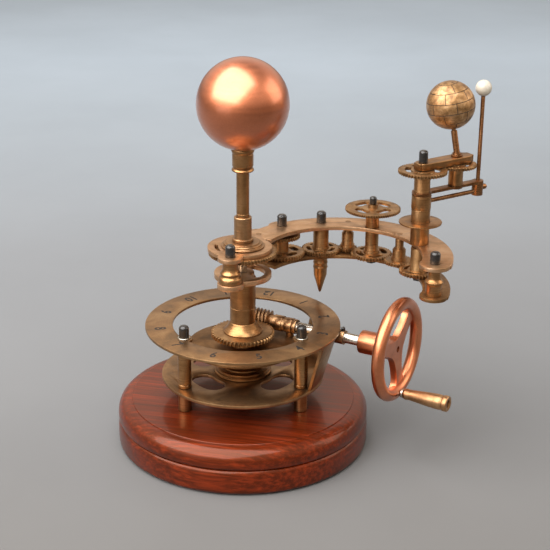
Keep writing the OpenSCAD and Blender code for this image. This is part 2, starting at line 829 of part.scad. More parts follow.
// Cone under the second arbor that points at the calendar ring
module date_pointer() {
    body_h = 16;
    cone_h = 14.5;
    color("#8f6236") translate([second_at[0], second_at[1], arm_lower_z]) difference() {
        rotate_extrude() polygon([[0, 0], [6, 0], [6, -2], [5.4, -2.6], [5.4, -5], [5.7, -5.4], [5.7, -6.2],
                                  [5.4, -6.6], [5.4, -9], [5.7, -9.4], [5.7, -10.2], [5.3, -10.8],
                                  [5.1, -body_h], [1, -body_h - cone_h], [0, -body_h - cone_h - 0.5]]);
        translate([0, 0, -9]) cylinder(r = stud_r + stud_c, h = 10);
    }
}

// ---- Arbors of the train ----

module idler_gear() {
    color("#8f6a38") translate([idler_at[0], idler_at[1], high_gear_z])
        bored(stud_r + run_c, 0, gear_h) gear(n_idler, gear_h, turn_idler, 4, 5, 9.5);
}

module first_arbor() {
    high = high_gear_z - low_gear_z;
    color("#7d5e34") translate([first_at[0], first_at[1], low_gear_z]) bored(stud_r + run_c, 0, arbor_h) {
        gear(n_first_low, gear_h, turn_first_low, 5, 8, 13.5);
        cylinder(r = 5.3, h = high + 1);
        translate([0, 0, high]) gear(n_first_high, gear_h, turn_first_high);
        cylinder(r = 4, h = arbor_h);
    }
}

module second_arbor() {
    color("#a9713a") translate([second_at[0], second_at[1], low_gear_z]) bored(stud_r + run_c, 0, arbor_h) {
        gear(n_second, gear_h, turn_second, 5, 8, 11.2);
        cylinder(r = 6, h = arbor_h);
        cylinder(r = 6.5, h = gear_h + 1.6);
    }
}

// Body with a slimmer neck over a small gear
module necked_arbor(n, turn, body_r, neck_r, body_h) {
    bored(stud_r + run_c, 0, arbor_h) {
        gear(n, gear_h, turn);
        cylinder(r = body_r, h = gear_h + body_h);
        cylinder(r = body_r + 0.8, h = gear_h + 2.4);
        cylinder(r = body_r - 0.8, h = gear_h + body_h + 1);
        cylinder(r = neck_r, h = arbor_h);
    }
}

module third_arbor() {
    color("#a06a36") translate([third_at[0], third_at[1], low_gear_z])
        necked_arbor(n_third, turn_third, 4.6, 2.9, 11.5);
}

module fifth_arbor() {
    color("#946536") translate([fifth_at[0], fifth_at[1], low_gear_z])
        necked_arbor(n_fifth, turn_fifth, 5, 3.2, 8.5);
}

// Arbor that carries the spoked wheel above the arm
module fourth_arbor() {
    rise = spoked_z - low_gear_z;
    top = rise + 5 - face_gap / 2;
    color("#a57a44") translate([fourth_at[0], fourth_at[1], low_gear_z]) bored(stud_r + run_c, 0, top) {
        gear(n_fourth, gear_h, turn_fourth, 4, 7.5, 12);
        cylinder(r = fourth_sleeve_r, h = rise + 1);
        cylinder(r = fourth_sleeve_r + 0.9, h = gear_h + 2.2);
        cylinder(r = 3.7, h = top);
        translate([0, 0, rise]) linear_extrude(2) difference() {
            gear_outline(n_spoked, 0.57, 0.2);
            for (i = [0 : 3]) rotate([0, 0, i * 90 + 40]) arc_window(8.4, 15, 34);
        }
    }
}

// ---- Earth and Moon head ----

module post_tube() {
    color("#a56c38") translate([head_at[0], head_at[1], arm_top_z]) difference() {
        union() {
            cylinder(r = post_r, h = head_gear_z - arm_top_z);
            cylinder(r = post_r + 1, h = collar_z - arm_top_z - face_gap);
        }
        translate([0, 0, -1]) cylinder(r = arbor_r + run_c, h = head_gear_z - arm_top_z + 2);
    }
}

module post_gear() {
    color("#a58048") translate([head_at[0], head_at[1], head_gear_z])
        bored(arbor_r + run_c, 0, head_gear_h) gear(n_post, head_gear_h, 0, 4, 8.6, 13);
}

module month_disc() {
    color("#8c6c42") translate([head_at[0], head_at[1], month_disc_z])
        tube(month_disc_r, 1.2, post_r + 1);
}

// Driven gear, sleeve and arbor of the head, up through the post
module head_arbor() {
    floor_z = arm_lower_z - low_nut_h;
    color("#7d5e34") translate([head_at[0], head_at[1], 0]) {
        translate([0, 0, low_gear_z]) gear(n_head, gear_h, turn_head, 4, 7.8, 10.4);
        translate([0, 0, low_gear_z]) cylinder(r = post_r, h = arbor_h);
        translate([0, 0, floor_z]) cylinder(r = arbor_r, h = bar_z + bar_h + arm_nut_reach - floor_z);
    }
}

// Rounded bar clamped on the arbor
module head_bar() {
    reach = earth_d + bar_tail;
    color("#b07848") in_head() translate([0, 0, bar_z]) difference() {
        union() {
            translate([-bar_end, -bar_w / 2 + 2, 0]) cube([reach + bar_end, bar_w - 4, bar_h]);
            translate([0, -bar_w / 2, 0]) cube([reach - bar_end, bar_w, bar_h]);
            for (x = [0, reach - bar_end]) translate([x, 0, 0]) cylinder(r = bar_w / 2, h = bar_h);
        }
        translate([0, 0, -1]) cylinder(r = arbor_r, h = bar_h + 2);
        translate([earth_d, 0, -1]) cylinder(r = spindle_pin_r, h = bar_h + 2);
    }
}

module head_nuts() {
    color("#1b1b1d") {
        in_head() translate([0, 0, bar_z + bar_h]) dome_nut(nut_r - 0.4, nut_h, arbor_r);
        translate([head_at[0], head_at[1], arm_lower_z - low_nut_h - face_gap / 2])
            tube(nut_r + 0.3, low_nut_h - 0.1, arbor_r);
    }
}

module head_collar() {
    color("#ad743c") in_head() difference() {
        translate([0, 0, collar_z]) tube(collar_r, collar_h, post_r + run_c);
        translate([post_r, 0, moon_bar_z]) rotate([0, 90, 0]) cylinder(r = frame_rod_r, h = collar_r);
    }
}

// Two bars from the post to the moon's block, and the moon's rod
module moon_frame() {
    block_h = flat_z + flat_t - block_z;
    rod_x = collar_r - 0.8;
    color("#8a6840") in_head() difference() {
        union() {
            translate([0, 0, flat_z]) cylinder(r = collar_r, h = flat_t);
            translate([0, -3.2, flat_z]) cube([moon_reach, 6.4, flat_t]);
            translate([earth_d, 0, flat_z]) cylinder(r = 5.4, h = flat_t);
            translate([rod_x, 0, moon_bar_z]) rotate([0, 90, 0])
                cylinder(r = frame_rod_r, h = moon_reach - rod_x);
            translate([moon_reach, 0, block_z]) cylinder(r = block_r, h = block_h);
            translate([moon_reach, 0, block_z]) cylinder(r = moon_rod_r, h = moon_z - moon_r - block_z);
            translate([moon_reach, 0, moon_bar_z + 2.4]) rotate([0, 90, 0])
                cylinder(r = 1.1, h = block_r + 1);
            translate([moon_reach + block_r - 0.4, 0, moon_bar_z + 2.4]) rotate([0, 90, 0])
                dome_nut(2.1, 4.4, 0.4);
        }
        translate([0, 0, flat_z - 1]) cylinder(r = post_r + run_c, h = flat_t + 2);
        translate([earth_d, 0, flat_z - 1]) cylinder(r = spindle_pin_r, h = flat_t + 2);
    }
}

module moon_ball() {
    color("#f2f1ec") in_head() translate([moon_reach, 0, moon_z]) sphere(r = moon_r);
}

// ---- Earth ----

// Moves children to the spindle's bend: local +Z runs up the tilted spindle
module on_tilt() {
    translate([earth_at[0], earth_at[1], bend_z]) rotate([0, -globe_tilt, 0]) children();
}

// Planet gear and its sleeve, turning on the straight part of the spindle
module earth_gear() {
    rise = head_gear_z - hub_low_z;
    color("#96703c") translate([earth_at[0], earth_at[1], hub_low_z])
        bored(spindle_pin_r + run_c, 0, rise + head_gear_h) {
            translate([0, 0, rise]) gear(n_carrier, head_gear_h, turn_carrier, 4, 7, 10.6);
            cylinder(r = 5.4, h = rise + 1);
        }
}

// Bent spindle: straight through both bars, then tilted to the globe
module earth_spindle() {
    top_z = bar_z + bar_h;
    color("#9a6a38") {
        translate([earth_at[0], earth_at[1], flat_z]) cylinder(r = spindle_pin_r, h = top_z - flat_z);
        translate([earth_at[0], earth_at[1], top_z]) cylinder(r = 4.2, h = 1.3);
        translate([earth_at[0], earth_at[1], top_z]) cylinder(r = 3.3, h = 2.6);
        on_tilt() cylinder(r = 2.3, h = globe_reach - globe_r - 1.6);
        on_tilt() cylinder(r = globe_pin_r, h = globe_reach + globe_pin_l);
    }
}

module earth_globe() {
    color("#a5803c") on_tilt() difference() {
        translate([0, 0, globe_reach]) sphere(r = globe_r);
        cylinder(r = globe_pin_r + run_c, h = globe_reach + globe_pin_l + face_gap);
    }
}

// ---- Drawing ----

base_lower_disc();
base_upper_disc();
base_felt();
base_bolt();
plate_spacers();
lower_plate();
ring_pillars();
calendar_ring();
ring_washers();
ring_nuts();
hub_flange();
bridge_plate();
worm_bearings();
crank_bracket();
crank_bush();
bush_screw();
centre_spindle();
fixed_gear();
sun_washers();
sun_collar();
sun_rod();
sun_socket();
sun_ball();
crank_shaft();
worm();
shaft_collars();
handwheel();
handle_pin();
handle_grip();
worm_wheel();
bell_collar();
column_tube();
hub_plate();
bracket_post();
hub_wheel();
upper_arm_plate();
lower_arm_plate();
arm_studs();
tip_pillar();
arm_top_nuts();
arm_bottom_nuts();
date_pointer();
post_tube();
post_gear();
month_disc();
idler_gear();
first_arbor();
second_arbor();
third_arbor();
fourth_arbor();
fifth_arbor();
head_arbor();
head_bar();
head_nuts();
head_collar();
moon_frame();
moon_ball();
earth_gear();
earth_spindle();
earth_globe();
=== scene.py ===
"""Looks of a hand-cranked geared orrery on a turned mahogany base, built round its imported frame."""

import logging
import math
from collections.abc import Iterable, Sequence
from dataclasses import dataclass
from enum import Enum

import bpy
import numpy as np
from mathutils import Matrix, Vector


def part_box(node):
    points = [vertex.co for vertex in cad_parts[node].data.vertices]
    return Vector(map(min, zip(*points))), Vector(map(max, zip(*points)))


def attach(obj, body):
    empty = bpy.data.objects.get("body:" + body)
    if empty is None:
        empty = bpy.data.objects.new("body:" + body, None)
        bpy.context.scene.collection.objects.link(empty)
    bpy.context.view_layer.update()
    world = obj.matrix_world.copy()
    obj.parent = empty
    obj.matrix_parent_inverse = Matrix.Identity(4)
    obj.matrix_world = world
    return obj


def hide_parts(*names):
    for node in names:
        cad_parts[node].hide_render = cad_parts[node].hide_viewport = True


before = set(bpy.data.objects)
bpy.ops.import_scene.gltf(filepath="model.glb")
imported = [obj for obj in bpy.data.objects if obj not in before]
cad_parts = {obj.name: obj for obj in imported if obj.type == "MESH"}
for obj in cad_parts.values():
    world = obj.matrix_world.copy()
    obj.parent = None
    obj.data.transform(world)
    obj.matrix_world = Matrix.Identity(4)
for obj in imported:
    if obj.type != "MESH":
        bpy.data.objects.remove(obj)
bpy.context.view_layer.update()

MM = 0.001
LOG = logging.getLogger("orrery")
Profile = Sequence[tuple[float, float]]
Stops = Sequence[tuple[float, str]]
Tree = bpy.types.NodeTree
Socket = bpy.types.NodeSocket
Piece = bpy.types.Object
Box = tuple[Vector, Vector]

CRANK_AZIMUTH = math.radians(-30)
CRANK_OUT = Vector((math.cos(CRANK_AZIMUTH), math.sin(CRANK_AZIMUTH), 0))
CRANK_HEIGHT = 85.5
CRANK_OFFSET = 30.5
GLOBE_TILT = math.radians(10)

WELD = 1e-6
CAD_WELD = 2e-6
FLAT_DEG = 0.3
TURNED_DEG = 30
STEPPED_DEG = 34
BEADED_DEG = 36
EDGE_DEG = 38
CAST_DEG = 40
LOW_NUT_MM = 4


class Brush(Enum):
    """How a metal surface was worked, which sets the run of its fine lines."""

    LATHE = "rings round an upright axis"
    CRANK = "rings round the crank shaft"
    RADIAL = "rings round the centre column, on flat plates"
    LENGTH = "straight lines from left to right"


# ---- Colours and nodes ----


def srgb(code: str) -> tuple[float, float, float, float]:
    """Turns an sRGB hex colour to linear.

    Args:
        code: Six hex digits.

    Returns:
        Linear red, green, blue and alpha.
    """
    parts = [int(code[i : i + 2], 16) / 255 for i in (0, 2, 4)]
    linear = [c / 12.92 if c <= 0.04045 else ((c + 0.055) / 1.055) ** 2.4 for c in parts]
    return (linear[0], linear[1], linear[2], 1.0)


def add_node(
    tree: Tree,
    kind: str,
    sockets: dict[int | str, object] | None = None,
    links: dict[int | str, Socket] | None = None,
    **settings: object,
) -> bpy.types.Node:
    """Adds one node with its settings, socket values and links.

    Args:
        tree: The material's or world's node tree.
        kind: The node's type name, without ShaderNode.
        sockets: Value for each input, by name or place.
        links: Output to join to each input, by name or place.
        **settings: Attributes of the node itself.

    Returns:
        The new node.
    """
    node = tree.nodes.new("ShaderNode" + kind)
    for name, value in settings.items():
        setattr(node, name, value)
    for key, value in (sockets or {}).items():
        node.inputs[key].default_value = value
    for key, output in (links or {}).items():
        tree.links.new(output, node.inputs[key])
    return node


def ramp(tree: Tree, fac: Socket, stops: Stops) -> Socket:
    """Maps a value to colours.

    Args:
        tree: The node tree.
        fac: Output that picks the colour.
        stops: Place and hex colour of each stop, in order.

    Returns:
        The colour output.
    """
    node = add_node(tree, "ValToRGB", links={"Fac": fac})
    elements = node.color_ramp.elements
    while len(elements) < len(stops):
        elements.new(0.5)
    for element, (place, code) in zip(elements, stops, strict=True):
        element.position = place
        element.color = srgb(code)
    return node.outputs["Color"]


def remap(tree: Tree, value: Socket, low: float, high: float, out_low: float, out_high: float) -> Socket:
    """Maps low..high of a value to out_low..out_high, and returns the output."""
    return add_node(tree, "MapRange", {1: low, 2: high, 3: out_low, 4: out_high}, {0: value}).outputs[0]


def stretch(tree: Tree, place: Socket, factors: tuple[float, float, float]) -> Socket:
    """Multiplies a place by one factor on each axis."""
    return add_node(tree, "VectorMath", {1: factors}, {0: place}, operation="MULTIPLY").outputs[0]


def dim(tree: Tree, colour: Socket, value: Socket) -> Socket:
    """Multiplies a colour by a value."""
    return add_node(tree, "VectorMath", links={0: colour, 1: value}, operation="MULTIPLY").outputs[0]


def combine(tree: Tree, first: Socket, second: Socket, operation: str) -> Socket:
    """Adds or multiplies two values."""
    return add_node(tree, "Math", links={0: first, 1: second}, operation=operation).outputs[0]


def noise(
    tree: Tree, place: Socket, scale: float, detail: float, roughness: float, distortion: float = 0
) -> Socket:
    """Draws clouds.

    Args:
        tree: The node tree.
        place: Place that the clouds follow.
        scale: Clouds to one unit of the place.
        detail: Number of finer layers.
        roughness: Weight of the finer layers.
        distortion: How far the clouds are pulled about.

    Returns:
        A value from 0 to 1.
    """
    sockets = {"Scale": scale, "Detail": detail, "Roughness": roughness, "Distortion": distortion}
    return add_node(tree, "TexNoise", sockets, {0: place}).outputs[0]


def bump(tree: Tree, height: Socket, strength: float, depth_mm: float) -> bpy.types.Node:
    """Adds a bump node that raises the surface with a value."""
    return add_node(tree, "Bump", {"Strength": strength, "Distance": depth_mm * MM}, {"Height": height})


def new_tree(name: str) -> tuple[bpy.types.Material, Tree, bpy.types.Node]:
    """Starts a material.

    Args:
        name: The material's name.

    Returns:
        The material, its node tree and its shader.
    """
    material = bpy.data.materials.new(name)
    material.use_nodes = True
    return material, material.node_tree, material.node_tree.nodes["Principled BSDF"]


def object_mm(tree: Tree) -> Socket:
    """Gives a point's place on its piece in millimetres."""
    return stretch(tree, add_node(tree, "TexCoord").outputs["Object"], (1 / MM, 1 / MM, 1 / MM))


# ---- Finishes ----


@dataclass(frozen=True)
class Metal:
    """A bare metal with tool lines, patches of patina, and painted shade darkening its corners, which are
    also rougher.

    Lengths end in _mm. The rest are shares from 0 to 1, and hex colours.
    """

    name: str
    light: str
    base: str
    dark: str
    roughness: float
    brush: Brush
    line_mm: float = 0.5
    line_depth: float = 0.5
    patch_mm: float = 14
    patina: float = 0.5
    # Strength and reach of the painted shade in corners, which also roughens them
    shade_and_grime: float = 0.6
    shade_and_grime_mm: float = 5
    lacquer: float = 0.0
    dents: float = 0.12

    def lines(self, tree: Tree, place: Socket) -> Socket:
        """Draws the tool lines.

        Args:
            tree: The material's node tree.
            place: Place in millimetres.

        Returns:
            Output from 0 to 1 that changes from line to line.
        """
        fine, slow = 1 / self.line_mm, 1 / 60
        if self.brush is Brush.RADIAL:
            flat = stretch(tree, place, (1, 1, 0))
            reach = add_node(tree, "VectorMath", links={0: flat}, operation="LENGTH")
            along = add_node(tree, "CombineXYZ", links={0: reach.outputs["Value"]}).outputs[0]
            turned, scale = along, (fine, 1, 1)
        elif self.brush is Brush.CRANK:
            spin = add_node(tree, "Mapping", {"Rotation": (0, 0, -CRANK_AZIMUTH)}, {0: place})
            turned, scale = spin.outputs[0], (fine, slow, slow)
        elif self.brush is Brush.LENGTH:
            turned, scale = place, (slow, fine, fine)
        else:
            turned, scale = place, (slow, slow, fine)
        return noise(tree, stretch(tree, turned, scale), 1, 3, 0.6)

    def build(self) -> bpy.types.Material:
        """Builds the material."""
        material, tree, shader = new_tree(self.name)
        place = object_mm(tree)
        lines = self.lines(tree, place)
        patches = noise(tree, place, 1 / self.patch_mm, 5, 0.62, 0.4)
        specks = noise(tree, place, 0.9, 4, 0.7)
        tone = remap(tree, patches, 0.34, 0.66, 0.0, 1.0)
        colour = ramp(tree, tone, [(0.0, self.dark), (0.5, self.base), (1.0, self.light)])
        plain = add_node(tree, "RGB")
        plain.outputs[0].default_value = srgb(self.base)
        worn = add_node(tree, "Mix", {0: self.patina}, {6: plain.outputs[0], 7: colour}, data_type="RGBA")
        streak = remap(tree, lines, 0.3, 0.7, 1 - 0.28 * self.line_depth, 1 + 0.16 * self.line_depth)
        fleck = remap(tree, specks, 0.3, 0.72, 0.93, 1.04)
        both = combine(tree, streak, fleck, "MULTIPLY")
        # Painted shade: an ambient-occlusion mask darkens the colour in corners and crevices; the same mask
        # roughens them
        corner = add_node(tree, "AmbientOcclusion", {"Distance": self.shade_and_grime_mm * MM}, samples=6)
        corner_shade = remap(tree, corner.outputs["AO"], 0.25, 0.95, 1 - self.shade_and_grime, 1.0)
        shade = combine(tree, both, corner_shade, "MULTIPLY")
        tree.links.new(dim(tree, worn.outputs[2], shade), shader.inputs["Base Color"])
        shader.inputs["Metallic"].default_value = 1.0
        shader.inputs["Coat Weight"].default_value = self.lacquer
        shader.inputs["Coat Roughness"].default_value = 0.2
        rough = remap(tree, lines, 0.3, 0.7, self.roughness - 0.05, self.roughness + 0.07)
        dull = remap(tree, tone, 0.0, 1.0, 0.09 * self.patina, 0.0)
        dirt = remap(tree, corner_shade, 1 - self.shade_and_grime, 1.0, 0.18, 0.0)
        rough = combine(tree, combine(tree, rough, dull, "ADD"), dirt, "ADD")
        tree.links.new(rough, shader.inputs["Roughness"])
        ridges = bump(tree, lines, 0.25 * self.line_depth, 0.04)
        dents = bump(tree, patches, self.dents, 0.15)
        tree.links.new(ridges.outputs[0], dents.inputs["Normal"])
        tree.links.new(dents.outputs[0], shader.inputs["Normal"])
        return material


@dataclass(frozen=True)
class Lacquer:
    """Mahogany, stained and polished with clear lacquer: ribbon grain under a wet shine."""

    name: str
    light: str
    base: str
    dark: str
    sheen: str = "ff9660"
    ribbon_mm: float = 26
    grain_mm: float = 1.1
    grain_turn: float = 14
    grain_share: float = 0.7
    pore_mm: float = 0.35

    def build(self) -> bpy.types.Material:
        """Builds the material."""
        material, tree, shader = new_tree(self.name)
        place = object_mm(tree)
        turn = {"Rotation": (0, 0, math.radians(self.grain_turn))}
        skew = add_node(tree, "Mapping", turn, {0: place}).outputs[0]
        wide, fine, pit = 1 / self.ribbon_mm, 1 / self.grain_mm, 1 / self.pore_mm
        ribbon = noise(tree, stretch(tree, skew, (0.22 * wide, wide, 1.3 * wide)), 1, 3, 0.5, 0.4)
        grain = noise(tree, stretch(tree, skew, (0.02 * fine, fine, fine)), 0.5, 6, 0.62, 0.12)
        pores = noise(tree, stretch(tree, skew, (0.05 * pit, pit, pit)), 0.8, 2, 0.5)
        tone = add_node(tree, "Math", {1: 1 - self.grain_share}, {0: ribbon}, operation="MULTIPLY").outputs[0]
        mix = {0: grain, 2: tone}
        tone = add_node(tree, "Math", {1: self.grain_share}, mix, operation="MULTIPLY_ADD").outputs[0]
        colour = ramp(tree, tone, [(0.3, self.dark), (0.5, self.base), (0.7, self.light)])
        pore = remap(tree, pores, 0.58, 0.7, 1.0, 0.62)
        tree.links.new(dim(tree, colour, pore), shader.inputs["Base Color"])
        tree.links.new(remap(tree, grain, 0.3, 0.7, 0.3, 0.42), shader.inputs["Roughness"])
        shader.inputs["IOR"].default_value = 1.5
        shader.inputs["Specular IOR Level"].default_value = 0.6
        shader.inputs["Specular Tint"].default_value = srgb(self.sheen)
        shader.inputs["Coat Weight"].default_value = 0.3
        shader.inputs["Coat Roughness"].default_value = 0.1
        tree.links.new(bump(tree, grain, 0.12, 0.1).outputs[0], shader.inputs["Normal"])
        wave = noise(tree, place, 0.03, 2, 0.4)
        tree.links.new(bump(tree, wave, 0.1, 1.2).outputs[0], shader.inputs["Coat Normal"])
        return material


@dataclass(frozen=True)
class Enamel:
    """A hard glossy skin over metal or a cast ball, with faint unevenness."""

    name: str
    base: str
    shade: str
    roughness: float
    coat: float
    patch_mm: float = 3

    def build(self) -> bpy.types.Material:
        """Builds the material."""
        material, tree, shader = new_tree(self.name)
        place = object_mm(tree)
        cloud = noise(tree, place, 1 / self.patch_mm, 5, 0.6)
        tree.links.new(ramp(tree, cloud, [(0.3, self.shade), (0.65, self.base)]), shader.inputs["Base Color"])
        rough = remap(tree, cloud, 0.3, 0.7, self.roughness + 0.1, self.roughness - 0.03)
        tree.links.new(rough, shader.inputs["Roughness"])
        shader.inputs["Coat Weight"].default_value = self.coat
        shader.inputs["Coat Roughness"].default_value = 0.12
        tree.links.new(bump(tree, cloud, 0.15, 0.1).outputs[0], shader.inputs["Normal"])
        return material


@dataclass(frozen=True)
class Felt:
    """Pressed wool felt: matt, with a soft nap of short fibres."""

    name: str
    base: str
    shade: str
    fibre_mm: float = 0.6

    def build(self) -> bpy.types.Material:
        """Builds the material."""
        material, tree, shader = new_tree(self.name)
        place = object_mm(tree)
        nap = noise(tree, place, 1 / self.fibre_mm, 6, 0.8, 1.5)
        tree.links.new(ramp(tree, nap, [(0.3, self.shade), (0.7, self.base)]), shader.inputs["Base Color"])
        shader.inputs["Roughness"].default_value = 0.95
        shader.inputs["Sheen Weight"].default_value = 0.5
        tree.links.new(bump(tree, nap, 0.7, 0.3).outputs[0], shader.inputs["Normal"])
        return material


# Mahogany, stained dark red-brown and lacquered: ribbons of light and dark under a wet film
MAHOGANY = Lacquer("lacquered_mahogany", "7c2a0e", "4a1604", "210901")
# Wool felt, pressed: dull dark green
FELT = Felt("green_wool_felt", "234030", "14251b")
# Antique bronze plate, brushed in rings: olive-brown patches over warm bronze
BRONZE_PLATE = Metal(
    "antique_bronze_plate", "cba679", "a8825b", "735e48", 0.33, Brush.RADIAL, 0.6, 0.8, 20, 0.6, 0.45
)
# The same plate on the arm, rubbed straight: paler, with long soft streaks
BRONZE_ARM = Metal(
    "antique_bronze_arm", "ecc8a2", "d4a880", "a5845f", 0.34, Brush.LENGTH, 0.7, 0.6, 18, 0.6, 0.45
)
# A darker, duller copy of the arm's bronze for the lower arm plate and the bridge plate: the darker colour is
# painted shade
BRONZE_SHADED = Metal(
    "shaded_bronze_plate", "b58c5f", "8f6b46", "5c4630", 0.4, Brush.LENGTH, 0.8, 0.5, 16, 0.7, 0.45
)
# Turned brass, darkened to copper-brown: fine rings from the lathe
TURNED = Metal(
    "turned_antique_brass", "c79b6e", "a87d52", "745539", 0.29, Brush.LATHE, 0.45, 0.6, 12, 0.45, 0.5
)
# Bright turned brass, where the lathe left steps and edges clean
TURNED_PALE = Metal(
    "bright_turned_brass", "d4b088", "b48c64", "84664a", 0.29, Brush.LATHE, 0.5, 0.6, 12, 0.45, 0.5
)
# Drawn brass rod, gone brown
ROD = Metal(
    "browned_brass_rod", "b58a62", "8f6340", "5d3f28", 0.26, Brush.LENGTH, 0.5, 0.4, 10, 0.5, 0.4
)
# The same brass turned about the crank shaft
TURNED_CRANK = Metal(
    "turned_antique_brass_crank", "cfa87c", "ac8560", "7a5c3e", 0.3, Brush.CRANK, 0.45, 0.6, 10, 0.5, 0.4
)
# Cut gear brass: duller, with painted shade darkening the gaps between the teeth, which are also rougher
GEAR = Metal(
    "cut_gear_brass", "cfa777", "a88157", "6c5236", 0.35, Brush.LENGTH, 0.5, 0.45, 10, 0.6, 0.7, 2.0
)
# Spun copper, satin lacquered: an even warm glow with hardly a line in it
COPPER = Metal(
    "satin_copper", "e09068", "d07c54", "b96a45", 0.32, Brush.LATHE, 1.2, 0.0, 30, 0.3, 0.1, 5, 1.0, 0.004
)
# The same copper, cast and satin finished, on the handwheel
COPPER_WHEEL = Metal(
    "satin_copper_wheel", "e89c70", "d28158", "a8623d", 0.3, Brush.CRANK, 0.8, 0.1, 16, 0.4, 0.4, 5, 0.4, 0.04
)
# Globe brass, brushed over: matt and warm
GLOBE = Metal(
    "brushed_globe_brass", "d6b084", "ac8457", "6f5034", 0.45, Brush.LENGTH, 0.5, 0.8, 5, 0.75, 0.5, 1.0, 0.35
)
# Golden brass of the grip, worn bright by hands
GRIP = Metal("worn_grip_brass", "d2a97e", "b58a62", "86623f", 0.33, Brush.CRANK, 0.5, 0.5, 8, 0.5, 0.5)
# Ground steel bar: bright, with rings from grinding
STEEL = Metal("ground_steel", "e4dfd4", "cbc4b6", "989080", 0.24, Brush.CRANK, 0.4, 0.4, 8, 0.4, 0.4)
# Steel cap nuts, blackened and oiled: near black with a glossy top
BLACK = Enamel("blackened_steel", "201d1b", "0f0e0d", 0.26, 0.4)
# Moon ball in white glazed ceramic
MOON = Enamel("white_glazed_ceramic", "bdb7aa", "aca596", 0.35, 0.4, 2)
# Engraved marks, filled with dark wax
WAX = Enamel("dark_engraving_wax", "241a11", "120c07", 0.6, 0.0, 1)

Finish = Metal | Lacquer | Enamel | Felt
_built: dict[str, bpy.types.Material] = {}


def material_of(finish: Finish) -> bpy.types.Material:
    """Gives the finish's material, built once."""
    if finish.name not in _built:
        _built[finish.name] = finish.build()
    return _built[finish.name]


# ---- Modelling ----


def clear_selection() -> None:
    """Leaves edit mode and deselects everything."""
    if bpy.context.mode != "OBJECT":
        bpy.ops.object.mode_set(mode="OBJECT")
    bpy.ops.object.select_all(action="DESELECT")


def pick(obj: Piece) -> None:
    """Makes one object the selected and active one."""
    clear_selection()
    obj.select_set(True)
    bpy.context.view_layer.objects.active = obj


def edit(obj: Piece, everything: bool = True) -> None:
    """Enters edit mode on an object, with all or nothing selected."""
    pick(obj)
    bpy.ops.object.mode_set(mode="EDIT")
    bpy.ops.mesh.select_all(action="SELECT" if everything else "DESELECT")


def outward(obj: Piece) -> None:
    """Merges doubled points and turns all faces outwards."""
    edit(obj)
    bpy.ops.mesh.remove_doubles(threshold=WELD)
    bpy.ops.mesh.select_all(action="SELECT")
    bpy.ops.mesh.normals_make_consistent(inside=False)
    bpy.ops.object.mode_set(mode="OBJECT")


def apply_place(obj: Piece) -> None:
    """Moves an object's place, turn and scale into its mesh."""
    pick(obj)
    bpy.ops.object.transform_apply(location=True, rotation=True, scale=True)


def add_modifier(obj: Piece, kind: str, **settings: object) -> None:
    """Adds a modifier with its settings and applies it."""
    pick(obj)
    modifier = obj.modifiers.new(kind.title(), kind)
    for name, value in settings.items():
        setattr(modifier, name, value)
    bpy.ops.object.modifier_apply(modifier=modifier.name)


def smooth(obj: Piece, sharp_deg: float) -> Piece:
    """Shades a piece smooth, but for its sharp edges, and returns it."""
    pick(obj)
    bpy.ops.object.shade_smooth_by_angle(angle=math.radians(sharp_deg))
    return obj


def soften(obj: Piece, width_mm: float, segments: int = 2) -> None:
    """Breaks the sharp edges and shades the rest smooth.

    Args:
        obj: The piece.
        width_mm: Width of the broken edge.
        segments: Cuts across the broken edge.
    """
    add_modifier(
        obj, "BEVEL", width=width_mm * MM, segments=segments, limit_method="ANGLE",
        angle_limit=math.radians(EDGE_DEG), harden_normals=False, use_clamp_overlap=True,
    )
    smooth(obj, EDGE_DEG)


def turned(name: str, profile: Profile, segments: int = 72) -> Piece:
    """Turns a solid on the +Z axis: a round cap, drawn up the profile ring by ring.

    Args:
        name: The piece's name.
        profile: Radius and height of each ring in millimetres, from the bottom up.
        segments: Sides of each ring.

    Returns:
        The solid, standing on the axis through the origin.
    """
    clear_selection()
    radius, height = profile[0]
    bpy.ops.mesh.primitive_circle_add(
        vertices=segments, radius=radius * MM, fill_type="NGON", location=(0, 0, height * MM)
    )
    obj = bpy.context.object
    obj.name = obj.data.name = name
    apply_place(obj)
    edit(obj)
    for new_radius, new_height in profile[1:]:
        rise = (new_height - height) * MM
        bpy.ops.mesh.extrude_region_move(TRANSFORM_OT_translate={"value": (0, 0, rise)})
        grow = new_radius / radius
        bpy.ops.transform.resize(value=(grow, grow, 1), center_override=(0, 0, new_height * MM))
        radius, height = new_radius, new_height
    outward(obj)
    return obj


def move_to(obj: Piece, place: Vector, axis: Vector | None = None) -> Piece:
    """Stands a piece at a place, with its own +Z along an axis, and moves that into its mesh.

    Args:
        obj: The piece, made on the +Z axis.
        place: Where its origin goes, in millimetres.
        axis: Direction of its axis; upright when left out.

    Returns:
        The piece.
    """
    if axis is not None:
        obj.rotation_mode = "QUATERNION"
        obj.rotation_quaternion = axis.to_track_quat("Z", "Y")
    obj.location = place * MM
    apply_place(obj)
    return obj


def joined(name: str, parts: Iterable[Piece]) -> Piece:
    """Joins pieces of one body and one finish into one object.

    Args:
        name: The new piece's name.
        parts: The pieces, all with their place in their mesh.

    Returns:
        The joined piece.
    """
    parts = list(parts)
    pick(parts[0])
    for part in parts[1:]:
        part.select_set(True)
    if len(parts) > 1:
        bpy.ops.object.join()
    obj = bpy.context.object
    obj.name = obj.data.name = name
    return obj


